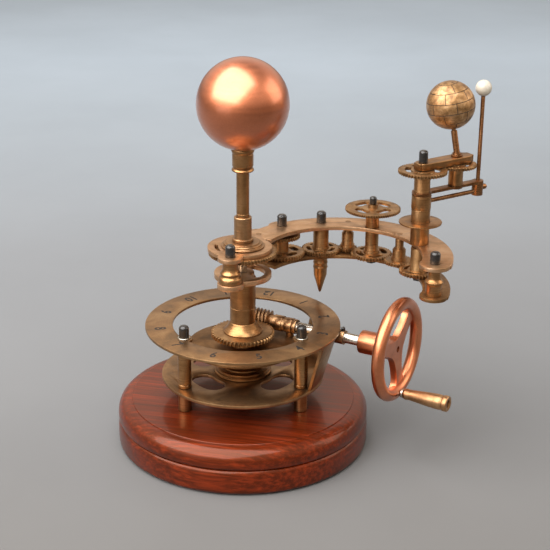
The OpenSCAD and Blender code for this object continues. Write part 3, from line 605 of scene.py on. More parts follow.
def solids(node: str) -> list[Box]:
    """Finds the separate solids of a CAD node.

    Args:
        node: The CAD node's name.

    Returns:
        Lowest and highest corner of each solid in millimetres, from left to right.
    """
    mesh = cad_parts[node].data
    points = np.zeros(len(mesh.vertices) * 3)
    mesh.vertices.foreach_get("co", points)
    points = points.reshape(-1, 3) / MM
    _, welded = np.unique(np.round(points, 3), axis=0, return_inverse=True)
    welded = welded.ravel()
    parent = list(range(int(welded.max()) + 1))

    def top(i: int) -> int:
        """Finds the group that a point belongs to."""
        while parent[i] != i:
            parent[i] = parent[parent[i]]
            i = parent[i]
        return i

    for face in mesh.polygons:
        ids = [top(int(welded[v])) for v in face.vertices]
        for other in ids[1:]:
            parent[other] = ids[0]
            ids[0] = top(ids[0])
    groups: dict[int, list[int]] = {}
    for index, weld in enumerate(welded):
        groups.setdefault(top(int(weld)), []).append(index)
    boxes = [(Vector(points[ids].min(0)), Vector(points[ids].max(0))) for ids in groups.values()]
    return sorted(boxes, key=lambda box: (round(box[0].x, 2), round(box[0].y, 2)))


def foot_of(box: Box) -> Vector:
    """Gives the centre of a box's bottom."""
    low, high = box
    return Vector(((low.x + high.x) / 2, (low.y + high.y) / 2, low.z))


def height_of(box: Box) -> float:
    """Gives a box's height."""
    low, high = box
    return high.z - low.z


def middle_of(box: Box) -> Vector:
    """Gives a box's middle."""
    low, high = box
    return (low + high) / 2


def stood(name: str, box: Box, profile: Profile, segments: int) -> Piece:
    """Turns a piece on the foot of a box, upright.

    Args:
        name: The piece's name.
        box: Lowest and highest corner of the solid that it stands for.
        profile: Radius and height of each ring in millimetres, from the foot up.
        segments: Sides of each ring.

    Returns:
        The piece, in place.
    """
    return move_to(turned(name, profile, segments), foot_of(box))


def seated_ball(box: Box, name: str, radius: float, sides: tuple[int, int], seat: float) -> Piece:
    """Models a ball with a flat seat underneath, in the middle of a CAD node's box.

    Args:
        box: The CAD node's box in metres.
        name: The piece's name.
        radius: The ball's radius in millimetres.
        sides: Divisions round the ball and from pole to pole.
        seat: Depth of the seat under the middle, as a share of the radius.

    Returns:
        The ball, in place.
    """
    centre = middle_of(box) / MM
    clear_selection()
    bpy.ops.mesh.primitive_uv_sphere_add(
        segments=sides[0], ring_count=sides[1], radius=radius * MM, location=centre * MM
    )
    ball = bpy.context.object
    ball.name = ball.data.name = name
    apply_place(ball)
    edit(ball)
    cut_at = (0, 0, (centre.z - radius * seat) * MM)
    bpy.ops.mesh.bisect(plane_co=cut_at, plane_no=(0, 0, -1), clear_outer=True, use_fill=True)
    return smooth(ball, TURNED_DEG)


def edged(node: str, name: str, width_mm: float, segments: int = 2) -> Piece:
    """Copies a CAD node's mesh, welds it and breaks its edges.

    Args:
        node: The CAD node to copy.
        name: The new piece's name.
        width_mm: Width of the broken edges.
        segments: Cuts across each broken edge.

    Returns:
        The new piece.
    """
    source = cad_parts[node]
    obj = bpy.data.objects.new(name, source.data.copy())
    obj.data.name = name
    bpy.context.scene.collection.objects.link(obj)
    if obj.data.has_custom_normals:
        pick(obj)
        bpy.ops.mesh.customdata_custom_splitnormals_clear()
    edit(obj)
    bpy.ops.mesh.remove_doubles(threshold=CAD_WELD)
    bpy.ops.mesh.select_all(action="SELECT")
    bpy.ops.mesh.dissolve_limited(angle_limit=math.radians(FLAT_DEG))
    if width_mm > 0:
        soften(obj, width_mm, segments)
    else:
        smooth(obj, EDGE_DEG)
    return obj


def dress(obj: Piece, finish: Finish, body: str, *nodes: str) -> Piece:
    """Gives a piece its finish, its body and the CAD nodes that it stands for.

    Args:
        obj: The finished piece.
        finish: Its finish.
        body: The CAD body that it rides on.
        *nodes: CAD nodes that it replaces.

    Returns:
        The piece.
    """
    obj.data.materials.clear()
    obj.data.materials.append(material_of(finish))
    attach(obj, body)
    if nodes:
        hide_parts(*nodes)
    LOG.info("%s: %d faces, rides on %s", obj.name, len(obj.data.polygons), body)
    return obj


def dress_cut(
    node: str, ending: str, width_mm: float, finish: Finish, body: str, segments: int = 2
) -> Piece:
    """Dresses a CAD node's own shape, with its edges broken.

    Args:
        node: The CAD node.
        ending: What follows the node's name in the piece's name.
        width_mm: Width of the broken edges.
        finish: The piece's finish.
        body: The body that it rides on.
        segments: Cuts across each broken edge.

    Returns:
        The piece.
    """
    return dress(edged(node, f"{node}_{ending}", width_mm, segments), finish, body, node)


def rim_finish(obj: Piece, finish: Finish, reach_mm: float) -> None:
    """Gives the faces far from an upright axis a second finish.

    Args:
        obj: A dressed piece, round about an upright axis.
        finish: The second finish.
        reach_mm: Distance from the axis past which a face takes it.
    """
    obj.data.materials.append(material_of(finish))
    xs = [v.co.x for v in obj.data.vertices]
    ys = [v.co.y for v in obj.data.vertices]
    middle = Vector(((min(xs) + max(xs)) / 2, (min(ys) + max(ys)) / 2))
    for face in obj.data.polygons:
        far = max((obj.data.vertices[v].co.xy - middle).length for v in face.vertices)
        if far > reach_mm * MM:
            face.material_index = 1


def paint(node: str, finish: Finish) -> None:
    """Gives a carried-over CAD node its finish."""
    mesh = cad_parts[node].data
    mesh.materials.clear()
    mesh.materials.append(material_of(finish))


def cap_nut(name: str, radius: float, height: float) -> Piece:
    """Turns a cap nut with a chamfered foot and a domed top.

    Args:
        name: The piece's name.
        radius: Outer radius in millimetres.
        height: Full height in millimetres.

    Returns:
        The nut, standing at the origin.
    """
    chamfer, dome, step_deg = 0.35, radius * 0.62, 11.5
    side = height - dome
    rings = [(radius - chamfer, 0), (radius, chamfer), (radius, side * 0.5), (radius, side)]
    for step in range(1, 8):
        angle = math.radians(step * step_deg)
        rings.append((radius - dome + dome * math.cos(angle), side + dome * math.sin(angle)))
    rings.append(((radius - dome) * 0.5, height))
    return smooth(turned(name, rings, 40), TURNED_DEG)


def nuts_on(node: str, name: str, body: str) -> None:
    """Sets a nut on each solid of a CAD node of nuts: a six-sided one if it is low, else a cap nut.

    Args:
        node: The CAD node.
        name: The new piece's name.
        body: The body that it rides on.
    """
    made = []
    for index, box in enumerate(solids(node)):
        r, height, chamfer = (box[1].x - box[0].x) / 2, height_of(box), 0.4
        if height < LOW_NUT_MM:
            rings = [(r - chamfer, 0), (r, chamfer), (r, height - chamfer), (r - chamfer, height)]
            nut = turned(f"{name}_{index}", rings, 6)
        else:
            nut = cap_nut(f"{name}_{index}", r, height)
        made.append(move_to(nut, foot_of(box)))
    dress(joined(name, made), BLACK, body, node)


# ---- Sub-assemblies ----


@dataclass
class WoodenBase:
    """Two turned mahogany discs on a felt pad, with a groove between them."""

    radius: float = 95
    split_z: float = 20
    top_z: float = 35.8
    shoulder: float = 10
    step: float = 0.8
    sides: int = 160
    sharp_deg: float = 32

    def lower_disc(self) -> Piece:
        """Turns the lower disc with rounded top and bottom edges."""
        r, z = self.radius, self.split_z
        rings = [(r - 6, 1), (r - 2.2, 1), (r - 0.9, 1.5), (r - 0.2, 2.4), (r, 3.6), (r + 0.25, 9),
                 (r + 0.2, 14), (r - 0.1, z - 3.2), (r - 0.7, z - 1.6), (r - 1.7, z - 0.6),
                 (r - 3.0, z - 0.1), (r - 6, z)]
        return turned("mahogany_lower_disc", rings, self.sides)

    def upper_disc(self) -> Piece:
        """Turns the upper disc: a straight band, a quarter-round shoulder and a small step round the top."""
        r, z, top, bend = self.radius, self.split_z, self.top_z, self.shoulder
        spring, inner = top - self.step - bend, r - bend
        rings = [(r - 5, z), (r - 1.4, z + 0.1), (r - 0.5, z + 0.7), (r, z + 1.8), (r, spring)]
        for cut in range(1, 11):
            angle = math.radians(cut * 9)
            rings.append((inner + bend * math.cos(angle), spring + bend * math.sin(angle)))
        rings += [(inner - 0.35, top - 0.75), (inner - 0.5, top - 0.25), (inner - 0.9, top), (r - 14, top)]
        return turned("mahogany_upper_disc", rings, self.sides)

    def build(self) -> None:
        """Builds and dresses the base."""
        for disc, node in ((self.lower_disc(), "base_lower_disc"), (self.upper_disc(), "base_upper_disc")):
            dress(smooth(disc, self.sharp_deg), MAHOGANY, "root", node)
        pad = turned("felt_pad", [(90, 0), (90.8, 0.15), (91, 0.5), (90.8, 0.9), (90, 1)], 96)
        soften(pad, 0.1)
        dress(pad, FELT, "root", "base_felt")
        paint("base_bolt", BLACK)


@dataclass
class Stand:
    """Plates, pillars and calendar ring, and the fixed foot of the column."""

    pillar_r: float = 5
    plate_t: float = 2.5
    pillar_h: float = 37.5
    marks: int = 12
    mark_r: float = 62.8
    mark_size: float = 12
    mark_rise: float = 0.02
    first_mark: float = 70.5

    def pillars(self) -> None:
        """Turns the pillars, with a shallow neck near each end, and the spacers below them."""
        r, low, high = self.pillar_r, self.plate_t, self.plate_t + self.pillar_h
        tall, short = [], []
        for index, box in enumerate(solids("ring_pillars")):
            rings = [(2, 0), (2, low), (r - 0.4, low + 0.01), (r, low + 0.45), (r, low + 2.6),
                     (r - 0.3, low + 2.9), (r - 0.3, low + 3.3), (r, low + 3.6), (r, high - 3.6),
                     (r - 0.3, high - 3.3), (r - 0.3, high - 2.9), (r, high - 2.6), (r, high - 0.45),
                     (r - 0.4, high), (2, high + 0.01), (2, height_of(box))]
            tall.append(stood(f"pillar_{index}", box, rings, 48))
        for index, box in enumerate(solids("plate_spacers")):
            height = height_of(box)
            rings = [(r - 0.3, 0), (r, 0.4), (r, height - 1.6), (r - 0.25, height - 1.3), (r, height - 1.0),
                     (r, height - 0.3), (r - 0.3, height)]
            short.append(stood(f"spacer_{index}", box, rings, 48))
        for name, parts, node in (("ring_pillar_set", tall, "ring_pillars"),
                                  ("plate_spacer_set", short, "plate_spacers")):
            dress(smooth(joined(name, parts), TURNED_DEG), TURNED, "root", node)

    def engraving(self) -> Piece:
        """Sets the calendar ring's numerals on it as thin wax inlays, readable from outside."""
        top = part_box("calendar_ring")[1].z / MM
        parts = []
        for index in range(self.marks):
            angle = math.radians(self.first_mark - (index + 1) * 360 / self.marks)
            clear_selection()
            bpy.ops.object.text_add(location=(0, 0, 0))
            text = bpy.context.object
            text.data.body = str(index + 1)
            text.data.size = self.mark_size * MM
            text.data.align_x = "CENTER"
            text.data.align_y = "CENTER"
            text.data.extrude = 0.04 * MM
            text.data.offset = 0.22 * MM
            text.data.resolution_u = 4
            pick(text)
            bpy.ops.object.convert(target="MESH")
            numeral = bpy.context.object
            numeral.scale = (0.8, 1, 1)
            numeral.rotation_euler = (0, 0, angle + math.pi / 2)
            place = (self.mark_r * math.cos(angle), self.mark_r * math.sin(angle), top + self.mark_rise)
            numeral.location = Vector(place) * MM
            apply_place(numeral)
            outward(numeral)
            parts.append(numeral)
        return joined("ring_engraving", parts)

    def foot(self) -> None:
        """Turns the stepped foot with its bead, as one turning."""
        box = solids("hub_flange")[0]
        rise = height_of(box)
        rings = [(20.9, 0), (21.5, 0.5), (21.5, 1.8), (21.0, 2.3), (19.4, 2.4), (19.0, 2.8), (19.0, 3.9),
                 (18.5, 4.2), (16.2, 4.3), (15.5, 4.7), (15.4, 5.6), (14.8, 6.0), (12.6, 6.1), (12.1, 6.6),
                 (12.0, rise - 2.4), (12.6, rise - 2.0), (12.6, rise - 1.0), (12.0, rise - 0.6),
                 (12.0, rise)]
        dress(smooth(stood("stepped_foot", box, rings, 96), CAST_DEG), TURNED, "root", "hub_flange")

    def build(self) -> None:
        """Builds and dresses the stand."""
        self.pillars()
        self.foot()
        dress_cut("lower_plate", "brushed", 0.35, BRONZE_PLATE, "root")
        dress_cut("calendar_ring", "brushed", 0.3, BRONZE_PLATE, "root")
        dress(self.engraving(), WAX, "root")
        dress_cut("bridge_plate", "edged", 0.25, BRONZE_SHADED, "root")
        dress_cut("crank_bracket", "edged", 0.25, BRONZE_PLATE, "root")
        dress_cut("worm_bearings", "edged", 0.2, TURNED_CRANK, "root")
        dress_cut("crank_bush", "edged", 0.4, TURNED_CRANK, "root")
        rings = [(4.3, 0), (4.7, 0.2), (4.7, 0.55), (4.4, 0.8), (3.9, 0.8)]
        seats = enumerate(solids("ring_washers"))
        washers = [stood(f"washer_{index}", box, rings, 40) for index, box in seats]
        dress(joined("ring_washer_set", washers), STEEL, "root", "ring_washers")
        nuts_on("ring_nuts", "ring_cap_nuts", "root")
        nuts_on("bush_screw", "bush_oil_screw", "root")


@dataclass
class FixedSun:
    """The fixed stack over the arm, the rod and the sun."""

    sun_r: float = 33.3
    sun_seat: float = 0.985
    rod_r: float = 4.7

    def build(self) -> None:
        """Builds and dresses the fixed stack."""
        box = solids("sun_washers")[0]
        rings = [(15.4, 0), (16, 0.3), (16, 0.9), (15.6, 1.2), (14.4, 1.25), (14.2, 1.5), (14.2, 2.5),
                 (13.9, 2.8), (12.8, 2.85), (12.6, 3.0), (12.6, 3.5), (12.2, 3.8), (8, 3.8)]
        stack = stood("sun_washer_stack", box, rings, 72)
        box = solids("sun_collar")[0]
        height = height_of(box)
        rings = [(7.4, 0), (7.7, 0.3), (7.7, 2.1), (7.4, 2.4), (6.6, 2.7), (6.5, 3.2), (6.5, 9),
                 (6.35, 9.1), (6.35, 9.3), (6.5, 9.4), (6.5, height - 1.6), (6.35, height - 1.5),
                 (6.35, height - 1.3), (6.5, height - 1.2), (6.5, height - 0.4), (6.1, height),
                 (4.8, height)]
        collar = stood("sun_collar_turned", box, rings, 64)
        box = solids("sun_rod")[0]
        r, height = self.rod_r, height_of(box)
        rings = [(r, 0), (r, 2.2), (r - 0.2, 2.4), (r - 0.2, 2.7), (r, 2.9), (r, height * 0.5), (r, height)]
        rod = stood("sun_rod_turned", box, rings, 48)
        box = solids("sun_socket")[0]
        rings = [(5.8, 0), (6.4, 0.3), (7.2, 0.6), (7.95, 1.2), (8.1, 1.8), (7.8, 2.6), (7.0, 3.2),
                 (6.5, 3.5), (6.6, 4.0), (7.4, 4.4), (7.7, 4.9), (7.7, 13.6), (7.55, 13.8), (7.55, 14.2),
                 (7.7, 14.4), (8.2, 15.4), (8.45, 16.2), (8.4, 17.0), (8.1, 17.6), (7.4, 17.9)]
        socket = stood("sun_socket_turned", box, rings, 72)
        for obj, node, finish in (
            (stack, "sun_washers", TURNED_PALE), (collar, "sun_collar", TURNED_PALE),
            (rod, "sun_rod", TURNED), (socket, "sun_socket", TURNED),
        ):
            dress(smooth(obj, STEPPED_DEG), finish, "root", node)
        sun = seated_ball(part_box("sun_ball"), "sun_ball_spun", self.sun_r, (128, 80), self.sun_seat)
        dress(sun, COPPER, "root", "sun_ball")
        dress_cut("fixed_gear", "cut", 0.1, GEAR, "root")
        paint("centre_spindle", STEEL)


@dataclass
class Crank:
    """Shaft, worm, handwheel and revolving grip."""

    wheel_s: float = 113
    wheel_r: float = 34.3
    rim_r: float = 4.7
    hub_r: float = 8.8
    hub_s: float = 84
    spokes: tuple[float, ...] = (12, 132, 252)
    spoke_t: float = 5.2
    spoke_edge: float = 1.5
    spider_back: float = 2
    hole_r: float = 2.4
    hole_depth: float = 3
    spoke_shape: tuple[tuple[float, float], ...] = (
        (6.0, 12.6), (5.2, 15.5), (4.8, 19), (4.7, 23.5), (5.2, 27), (6.6, 29.6), (9.2, 31.6), (11.5, 32.8)
    )
    grip_s: float = 120
    grip_l: float = 35

    def at(self, s: float) -> Vector:
        """Gives the point on the shaft's line at a distance along it, in millimetres."""
        side = Vector((-CRANK_OUT.y, CRANK_OUT.x, 0)) * CRANK_OFFSET
        return CRANK_OUT * s + side + Vector((0, 0, CRANK_HEIGHT))

    def lay(self, obj: Piece, s: float) -> Piece:
        """Lays a piece along the crank line: its +X down, as on the real wheel, and its +Z outwards."""
        turn = Matrix.Rotation(CRANK_AZIMUTH, 4, "Z") @ Matrix.Rotation(math.pi / 2, 4, "Y")
        obj.rotation_mode = "QUATERNION"
        obj.rotation_quaternion = turn.to_quaternion()
        obj.location = self.at(s) * MM
        apply_place(obj)
        return obj

    def spider(self) -> Piece:
        """Models the wheel's middle: a flat casting with three flared spokes and a screw hole.

        Returns:
            The casting, on the +Z axis, its middle plane at the origin.
        """
        half = [(math.asin(width / reach), reach) for width, reach in self.spoke_shape]
        valley = [(math.radians(41), 10.2), (math.radians(51), 9.5)]
        arm = [(-turn, reach) for turn, reach in reversed(half)] + half
        outline = []
        for degrees in self.spokes:
            middle = math.radians(degrees)
            outline += [(middle - turn, reach) for turn, reach in reversed(valley)]
            outline += [(middle + turn, reach) for turn, reach in self.one_way(arm)]
            outline += [(middle + turn, reach) for turn, reach in valley]
        clear_selection()
        bpy.ops.mesh.primitive_circle_add(
            vertices=len(outline), radius=10 * MM, fill_type="NGON", location=(0, 0, -self.spoke_t / 2 * MM)
        )
        obj = bpy.context.object
        apply_place(obj)
        ordered = sorted(obj.data.vertices, key=lambda v: math.atan2(v.co.y, v.co.x) % math.tau)
        for vertex, (turn, reach) in zip(ordered, outline, strict=True):
            vertex.co.x, vertex.co.y = reach * math.cos(turn) * MM, reach * math.sin(turn) * MM
        edit(obj)
        bpy.ops.mesh.extrude_region_move(TRANSFORM_OT_translate={"value": (0, 0, self.spoke_t * MM)})
        outward(obj)
        add_modifier(
            obj, "BEVEL", width=self.spoke_edge * MM, segments=4, limit_method="ANGLE",
            angle_limit=math.radians(60),
        )
        top, deep = self.spoke_t / 2, self.hole_depth
        hole = turned("wheel_hole", [(self.hole_r, top - deep), (self.hole_r, top + deep)], 32)
        add_modifier(obj, "BOOLEAN", operation="DIFFERENCE", object=hole)
        bpy.data.objects.remove(hole)
        return obj

    @staticmethod
    def one_way(arm: list[tuple[float, float]]) -> list[tuple[float, float]]:
        """Puts the two sides of a spoke in order: up the first side, then down the second."""
        half = len(arm) // 2
        first, second = arm[:half], arm[half:]
        return sorted(first, key=lambda point: point[1]) + sorted(second, key=lambda point: -point[1])

    def handwheel(self) -> Piece:
        """Models the wheel: a round rim, three flared spokes let into it and a turned hub."""
        parts = []
        clear_selection()
        bpy.ops.mesh.primitive_torus_add(
            major_radius=self.wheel_r * MM, minor_radius=self.rim_r * MM,
            major_segments=120, minor_segments=40,
        )
        parts.append(self.lay(bpy.context.object, self.wheel_s))
        parts.append(self.lay(self.spider(), self.wheel_s - self.spider_back))
        length = self.wheel_s - self.hub_s
        r = self.hub_r
        rings = [(r - 0.9, 0), (r - 0.3, 0.3), (r, 0.9), (r, length - 2.5), (r - 0.5, length - 2),
                 (r - 1, length - 1.9)]
        parts.append(self.lay(turned("wheel_hub", rings, 64), self.hub_s))
        return smooth(joined("handwheel_cast", parts), CAST_DEG)

    def grip(self) -> Piece:
        """Turns the grip: a waisted neck, a long swell, a bead and a dished end."""
        end = self.grip_l
        rings = [(3.3, 0), (3.6, 0.3), (4.1, 1.2), (4.2, 2.2), (4.0, 3.4), (3.95, 5), (4.2, 8), (4.6, 12),
                 (5.1, 17), (5.4, 21), (5.65, 25), (5.75, 28.2), (5.6, 29.6), (5.2, 30.1), (5.2, 30.5),
                 (5.7, 30.9), (6.0, 31.6), (6.0, 33.6), (5.8, end - 0.4), (5.4, end), (3.6, end),
                 (3.1, end - 0.4), (3.0, end - 2.6)]
        handle = move_to(turned("grip_turned", rings, 64), Vector((self.wheel_r, 0, 0)))
        return smooth(self.lay(handle, self.grip_s), CAST_DEG)

    def build(self) -> None:
        """Builds and dresses the crank."""
        dress_cut("crank_shaft", "ground", 0.3, STEEL, "crank")
        dress_cut("shaft_collars", "turned", 0.35, TURNED_CRANK, "crank")
        dress(self.handwheel(), COPPER_WHEEL, "crank", "handwheel")
        dress_cut("handle_pin", "turned", 0.3, STEEL, "crank")
        dress(self.grip(), GRIP, "grip", "handle_grip")
        dress_cut("worm", "cut", 0, TURNED_CRANK, "crank")


@dataclass
class Column:
    """The turning column, from the worm wheel to the arm's hub."""

    tube_r: float = 9.6
    joint_z: float = 107.6

    def build(self) -> None:
        """Builds and dresses the column."""
        box = solids("bell_collar")[0]
        r = self.tube_r
        rings = [(14.3, 0), (14.7, 0.3), (14.7, 0.8), (14.2, 1.2), (13.2, 2.2), (12.3, 3.3), (11.5, 4.6),
                 (10.8, 6.0), (r + 0.5, 7.2), (r + 0.4, 7.6), (r, 8)]
        bell = stood("bell_collar_turned", box, rings, 96)
        box = solids("column_tube")[0]
        height, joint = height_of(box), self.joint_z - box[0].z
        rings = [(r, 0), (r, 0.5), (r, joint - 0.45), (r - 0.3, joint - 0.2), (r - 0.3, joint + 0.2),
                 (r, joint + 0.45), (r, height * 0.6), (r, height - 4.2), (r - 0.2, height - 4.0),
                 (r - 0.2, height - 3.7), (r, height - 3.5), (r, height)]
        tube = stood("column_tube_turned", box, rings, 96)
        box = solids("bracket_post")[0]
        rise = height_of(box)
        rings = [(8.0, 0), (8.4, 0.4), (8.4, 3.9), (8.0, 4.5), (7.0, 5.2), (6.8, 5.6), (6.8, 6.4),
                 (7.3, 6.8), (7.4, 7.3), (7.3, 7.9), (6.5, 8.7), (5.9, 10), (5.6, 11.5), (5.6, rise - 2),
                 (5.9, rise - 1), (6.3, rise - 0.2), (6.3, rise)]
        post = stood("bracket_post_turned", box, rings, 64)
        for obj, node in ((bell, "bell_collar"), (tube, "column_tube"), (post, "bracket_post")):
            dress(smooth(obj, BEADED_DEG), TURNED, "arm", node)
        dress_cut("worm_wheel", "cut", 0.12, GEAR, "arm")
        dress_cut("hub_plate", "edged", 0.4, BRONZE_ARM, "arm")
        dress_cut("hub_wheel", "cut", 0.12, GEAR, "arm")


@dataclass
class Arm:
    """The two curved plates, what ties them, and the wheels between and above them."""

    gears: tuple[tuple[str, str], ...] = (
        ("idler_gear", "idler"), ("first_arbor", "first"), ("second_arbor", "second"),
        ("third_arbor", "third"), ("fourth_arbor", "fourth"), ("fifth_arbor", "fifth"),
    )
    arbor_r: float = 6.25

    def pointer(self) -> Piece:
        """Turns the date pointer, point down: three beads, a barrel and a long cone."""
        box = tuple(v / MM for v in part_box("date_pointer"))
        drop = height_of(box)
        rings = [(0.6, 0), (1.0, 0.5), (3.0, 7.6), (4.9, 14), (5.15, 14.9), (5.3, drop - 10.9),
                 (5.7, drop - 10.3), (5.7, drop - 9.5), (5.4, drop - 9.0), (5.4, drop - 6.7),
                 (5.7, drop - 6.2), (5.7, drop - 5.5), (5.4, drop - 5.0), (5.4, drop - 2.7),
                 (5.9, drop - 2.1), (6.0, drop - 1.6), (6.0, drop)]
        return stood("date_pointer_turned", box, rings, 56)

    def build(self) -> None:
        """Builds and dresses the arm."""
        dress_cut("upper_arm_plate", "edged", 0.4, BRONZE_ARM, "arm")
        dress_cut("lower_arm_plate", "edged", 0.35, BRONZE_SHADED, "arm")
        box = solids("tip_pillar")[0]
        gap = height_of(box)
        rings = [(5.5, 0), (5.8, 0.3), (5.8, 8.2), (6.2, 9.0), (6.6, 9.5), (6.6, 10.7), (6.0, 11.3),
                 (5.2, 12.2), (4.8, 13.4), (4.7, gap - 2), (5.1, gap - 0.9), (5.6, gap - 0.2), (5.6, gap)]
        pillar = stood("tip_pillar_turned", box, rings, 56)
        for obj, node in ((pillar, "tip_pillar"), (self.pointer(), "date_pointer")):
            dress(smooth(obj, BEADED_DEG), TURNED, "arm", node)
        nuts_on("arm_top_nuts", "arm_cap_nuts", "arm")
        nuts_on("arm_bottom_nuts", "arm_lock_nuts", "arm")
        paint("arm_studs", TURNED)
        for node, body in self.gears:
            rim_finish(dress_cut(node, "cut", 0.12, TURNED, body), GEAR, self.arbor_r)
        dress_cut("post_tube", "turned", 0.35, TURNED, "arm")
        dress_cut("post_gear", "cut", 0.12, GEAR, "arm")
        dress_cut("month_disc", "edged", 0.25, TURNED, "arm")


@dataclass
class Head:
    """The turning head: bar, moon frame, moon, planet gear, spindle and globe."""

    globe_r: float = 17.7
    moon_r: float = 6
    moon_seat: float = 0.965
    slices: int = 96
    rings: int = 72
    cut_mm: float = 0.22
    raise_mm: float = 0.3
    band_edges: tuple[int, ...] = (0, 9, 20, 30, 40, 51, 62, 72)
    blocks: tuple[int, ...] = (2, 4, 6, 6, 6, 4, 2)
    shifts: tuple[int, ...] = (10, 3, 11, 2, 9, 1, 20)

    def globe(self) -> Piece:
        """Models the globe: bands of staggered blocks, each raised a hair over the dark cuts between them.

        Returns:
            The globe, in place on its tilted spindle.
        """
        clear_selection()
        floor_r = (self.globe_r - self.raise_mm) * MM
        bpy.ops.mesh.primitive_uv_sphere_add(segments=self.slices, ring_count=self.rings, radius=floor_r)
        ball = bpy.context.object
        ball.name = ball.data.name = "globe_engraved"
        edit(ball, everything=False)
        bpy.ops.mesh.select_mode(type="FACE")
        bpy.ops.object.mode_set(mode="OBJECT")
        for band, count in enumerate(self.blocks):
            low, high = self.band_edges[band], self.band_edges[band + 1]
            width = self.slices // count
            for block in range(count):
                start = block * width + self.shifts[band]
                for face in ball.data.polygons:
                    centre = face.center
                    untouched = all(ball.data.vertices[v].co.length < floor_r * 1.003 for v in face.vertices)
                    row = math.acos(max(-1, min(1, centre.z / centre.length))) / math.pi * self.rings
                    column = math.atan2(centre.y, centre.x) / math.tau * self.slices
                    face.select = untouched and low <= row < high and (column - start) % self.slices < width
                bpy.ops.object.mode_set(mode="EDIT")
                bpy.ops.mesh.inset(thickness=self.cut_mm * MM, depth=self.raise_mm * MM)
                bpy.ops.object.mode_set(mode="OBJECT")
        smooth(ball, STEPPED_DEG)
        axis = Vector((-math.sin(GLOBE_TILT), 0, math.cos(GLOBE_TILT)))
        return move_to(ball, middle_of(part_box("earth_globe")) / MM, axis)

    def dress_globe(self) -> None:
        """Dresses the globe, with dark wax in its cuts."""
        ball = dress(self.globe(), GLOBE, "globe", "earth_globe")
        ball.data.materials.append(material_of(WAX))
        centre, skin = middle_of(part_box("earth_globe")), (self.globe_r - self.raise_mm * 0.6) * MM
        for face in ball.data.polygons:
            if any((ball.data.vertices[v].co - centre).length < skin for v in face.vertices):
                face.material_index = 1

    def build(self) -> None:
        """Builds and dresses the head."""
        dress_cut("head_arbor", "cut", 0.12, GEAR, "head")
        dress_cut("head_bar", "rounded", 0.9, TURNED, "head", 3)
        dress_cut("head_collar", "turned", 0.4, TURNED, "head")
        dress_cut("moon_frame", "edged", 0.25, ROD, "head")
        dress_cut("earth_spindle", "turned", 0.25, ROD, "head")
        nuts_on("head_nuts", "head_cap_nuts", "head")
        moon = seated_ball(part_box("moon_ball"), "moon_ball_glazed", self.moon_r, (64, 40), self.moon_seat)
        dress(moon, MOON, "head", "moon_ball")
        dress_cut("earth_gear", "cut", 0.12, GEAR, "planet_gear")
        self.dress_globe()


# ---- Studio ----


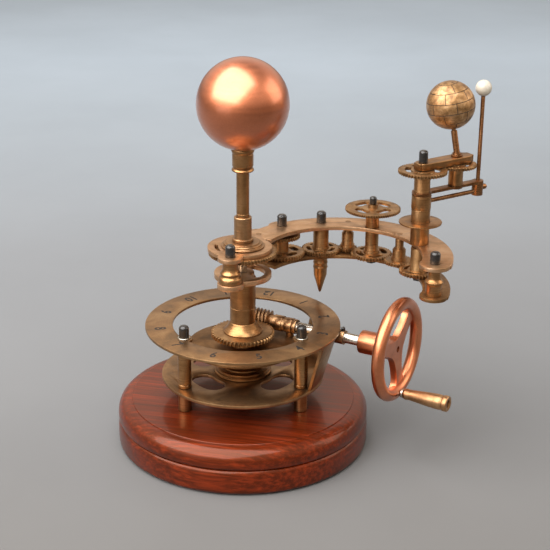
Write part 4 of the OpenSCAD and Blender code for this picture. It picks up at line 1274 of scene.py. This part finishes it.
@dataclass
class Studio:
    """A floor with painted light falloff, soft lamps and the camera."""

    floor_size: float = 14
    aim: tuple[float, float, float] = (0.03, 0, 0.15)
    glow_strength: float = 0.9
    glow: Stops = (
        (0.0, "59534c"), (0.3, "8f867d"), (0.48, "f0e0ce"), (0.74, "fff3e6"), (0.86, "b3b1ae"),
        (1.0, "a9abae"),
    )
    # Painted light falloff on the floor, from near the camera to far off
    floor_painted_falloff: Stops = ((0.0, "524f4b"), (0.45, "74777a"), (1.0, "a2adb6"))
    sensor: float = 36
    lens: float = 88.36
    camera_at: tuple[float, float, float] = (0, -0.9335, 0.4903)
    camera_pitch: float = 69.01
    shift_x: float = 0.0585

    def floor(self) -> None:
        """Lays a large floor with painted light falloff, darker and greyer near the camera and paler and
        bluer far off, and a faint unevenness of tone.
        """
        clear_selection()
        bpy.ops.mesh.primitive_grid_add(
            x_subdivisions=12, y_subdivisions=12, size=self.floor_size, location=(0, 3, 0)
        )
        sheet = bpy.context.object
        sheet.name = "studio_floor"
        apply_place(sheet)
        material, tree, shader = new_tree("studio_paper_painted_falloff")
        place = add_node(tree, "TexCoord").outputs["Object"]
        far = add_node(tree, "SeparateXYZ", links={0: place}).outputs["Y"]
        reach = remap(tree, far, -0.4, 1.4, 0.0, 1.0)
        # Painted light falloff: darker near the camera, paler far off
        tint = ramp(tree, reach, self.floor_painted_falloff)
        shade = remap(tree, noise(tree, place, 2.2, 5, 0.6), 0.3, 0.7, 0.93, 1.05)
        tree.links.new(dim(tree, tint, shade), shader.inputs["Base Color"])
        shader.inputs["Roughness"].default_value = 0.85
        sheet.data.materials.append(material)

    def lamp(
        self, name: str, at: tuple[float, float, float], size: float, power: float, colour: str
    ) -> Piece:
        """Hangs one square soft lamp that faces the orrery.

        Args:
            name: The lamp's name.
            at: Its place in metres.
            size: Its side in metres.
            power: Its power in watts.
            colour: Its hex colour.

        Returns:
            The lamp.
        """
        data = bpy.data.lights.new(name, "AREA")
        data.shape = "SQUARE"
        data.size = size
        data.energy = power
        data.color = srgb(colour)[:3]
        lamp = bpy.data.objects.new(name, data)
        lamp.location = at
        lamp.rotation_euler = (Vector(self.aim) - Vector(at)).to_track_quat("-Z", "Y").to_euler()
        bpy.context.scene.collection.objects.link(lamp)
        return lamp

    def build(self) -> None:
        """Builds the floor, the lamps, the world and the camera."""
        self.floor()
        self.lamp("key_softbox", (-0.45, -0.42, 1.15), 1.9, 62, "fffcfa")
        self.lamp("front_fill", (-1.1, -1.0, 0.5), 1.0, 2.5, "f6f7ff")
        self.lamp("right_rim", (1.1, 0.1, 0.7), 0.8, 4, "fff2e2")
        wash = self.lamp("far_wash", (0.0, 1.7, 1.5), 1.2, 12, "eef3ff")
        wash.visible_glossy = False
        world = bpy.data.worlds.new("studio_room")
        world.use_nodes = True
        tree = world.node_tree
        back = tree.nodes["Background"]
        way = add_node(tree, "TexCoord").outputs["Generated"]
        up = add_node(tree, "SeparateXYZ", links={0: way}).outputs["Z"]
        glow = ramp(tree, remap(tree, up, -0.4, 1.0, 0.0, 1.0), self.glow)
        tree.links.new(glow, back.inputs["Color"])
        back.inputs["Strength"].default_value = self.glow_strength
        bpy.context.scene.world = world
        data = bpy.data.cameras.new("studio_camera")
        data.lens = self.lens
        data.sensor_width = self.sensor
        data.shift_x = self.shift_x
        camera = bpy.data.objects.new("studio_camera", data)
        camera.location = self.camera_at
        camera.rotation_euler = (math.radians(self.camera_pitch), 0, 0)
        bpy.context.scene.collection.objects.link(camera)
        bpy.context.scene.camera = camera
        bpy.context.scene.view_settings.view_transform = "Standard"


def main() -> None:
    """Builds every sub-assembly and the studio."""
    logging.basicConfig(level=logging.INFO, format="%(message)s")
    for part in (WoodenBase(), Stand(), FixedSun(), Crank(), Column(), Arm(), Head(), Studio()):
        part.build()
        LOG.info("built %s", type(part).__name__)
    clear_selection()


if __name__ == "__main__":
    main()
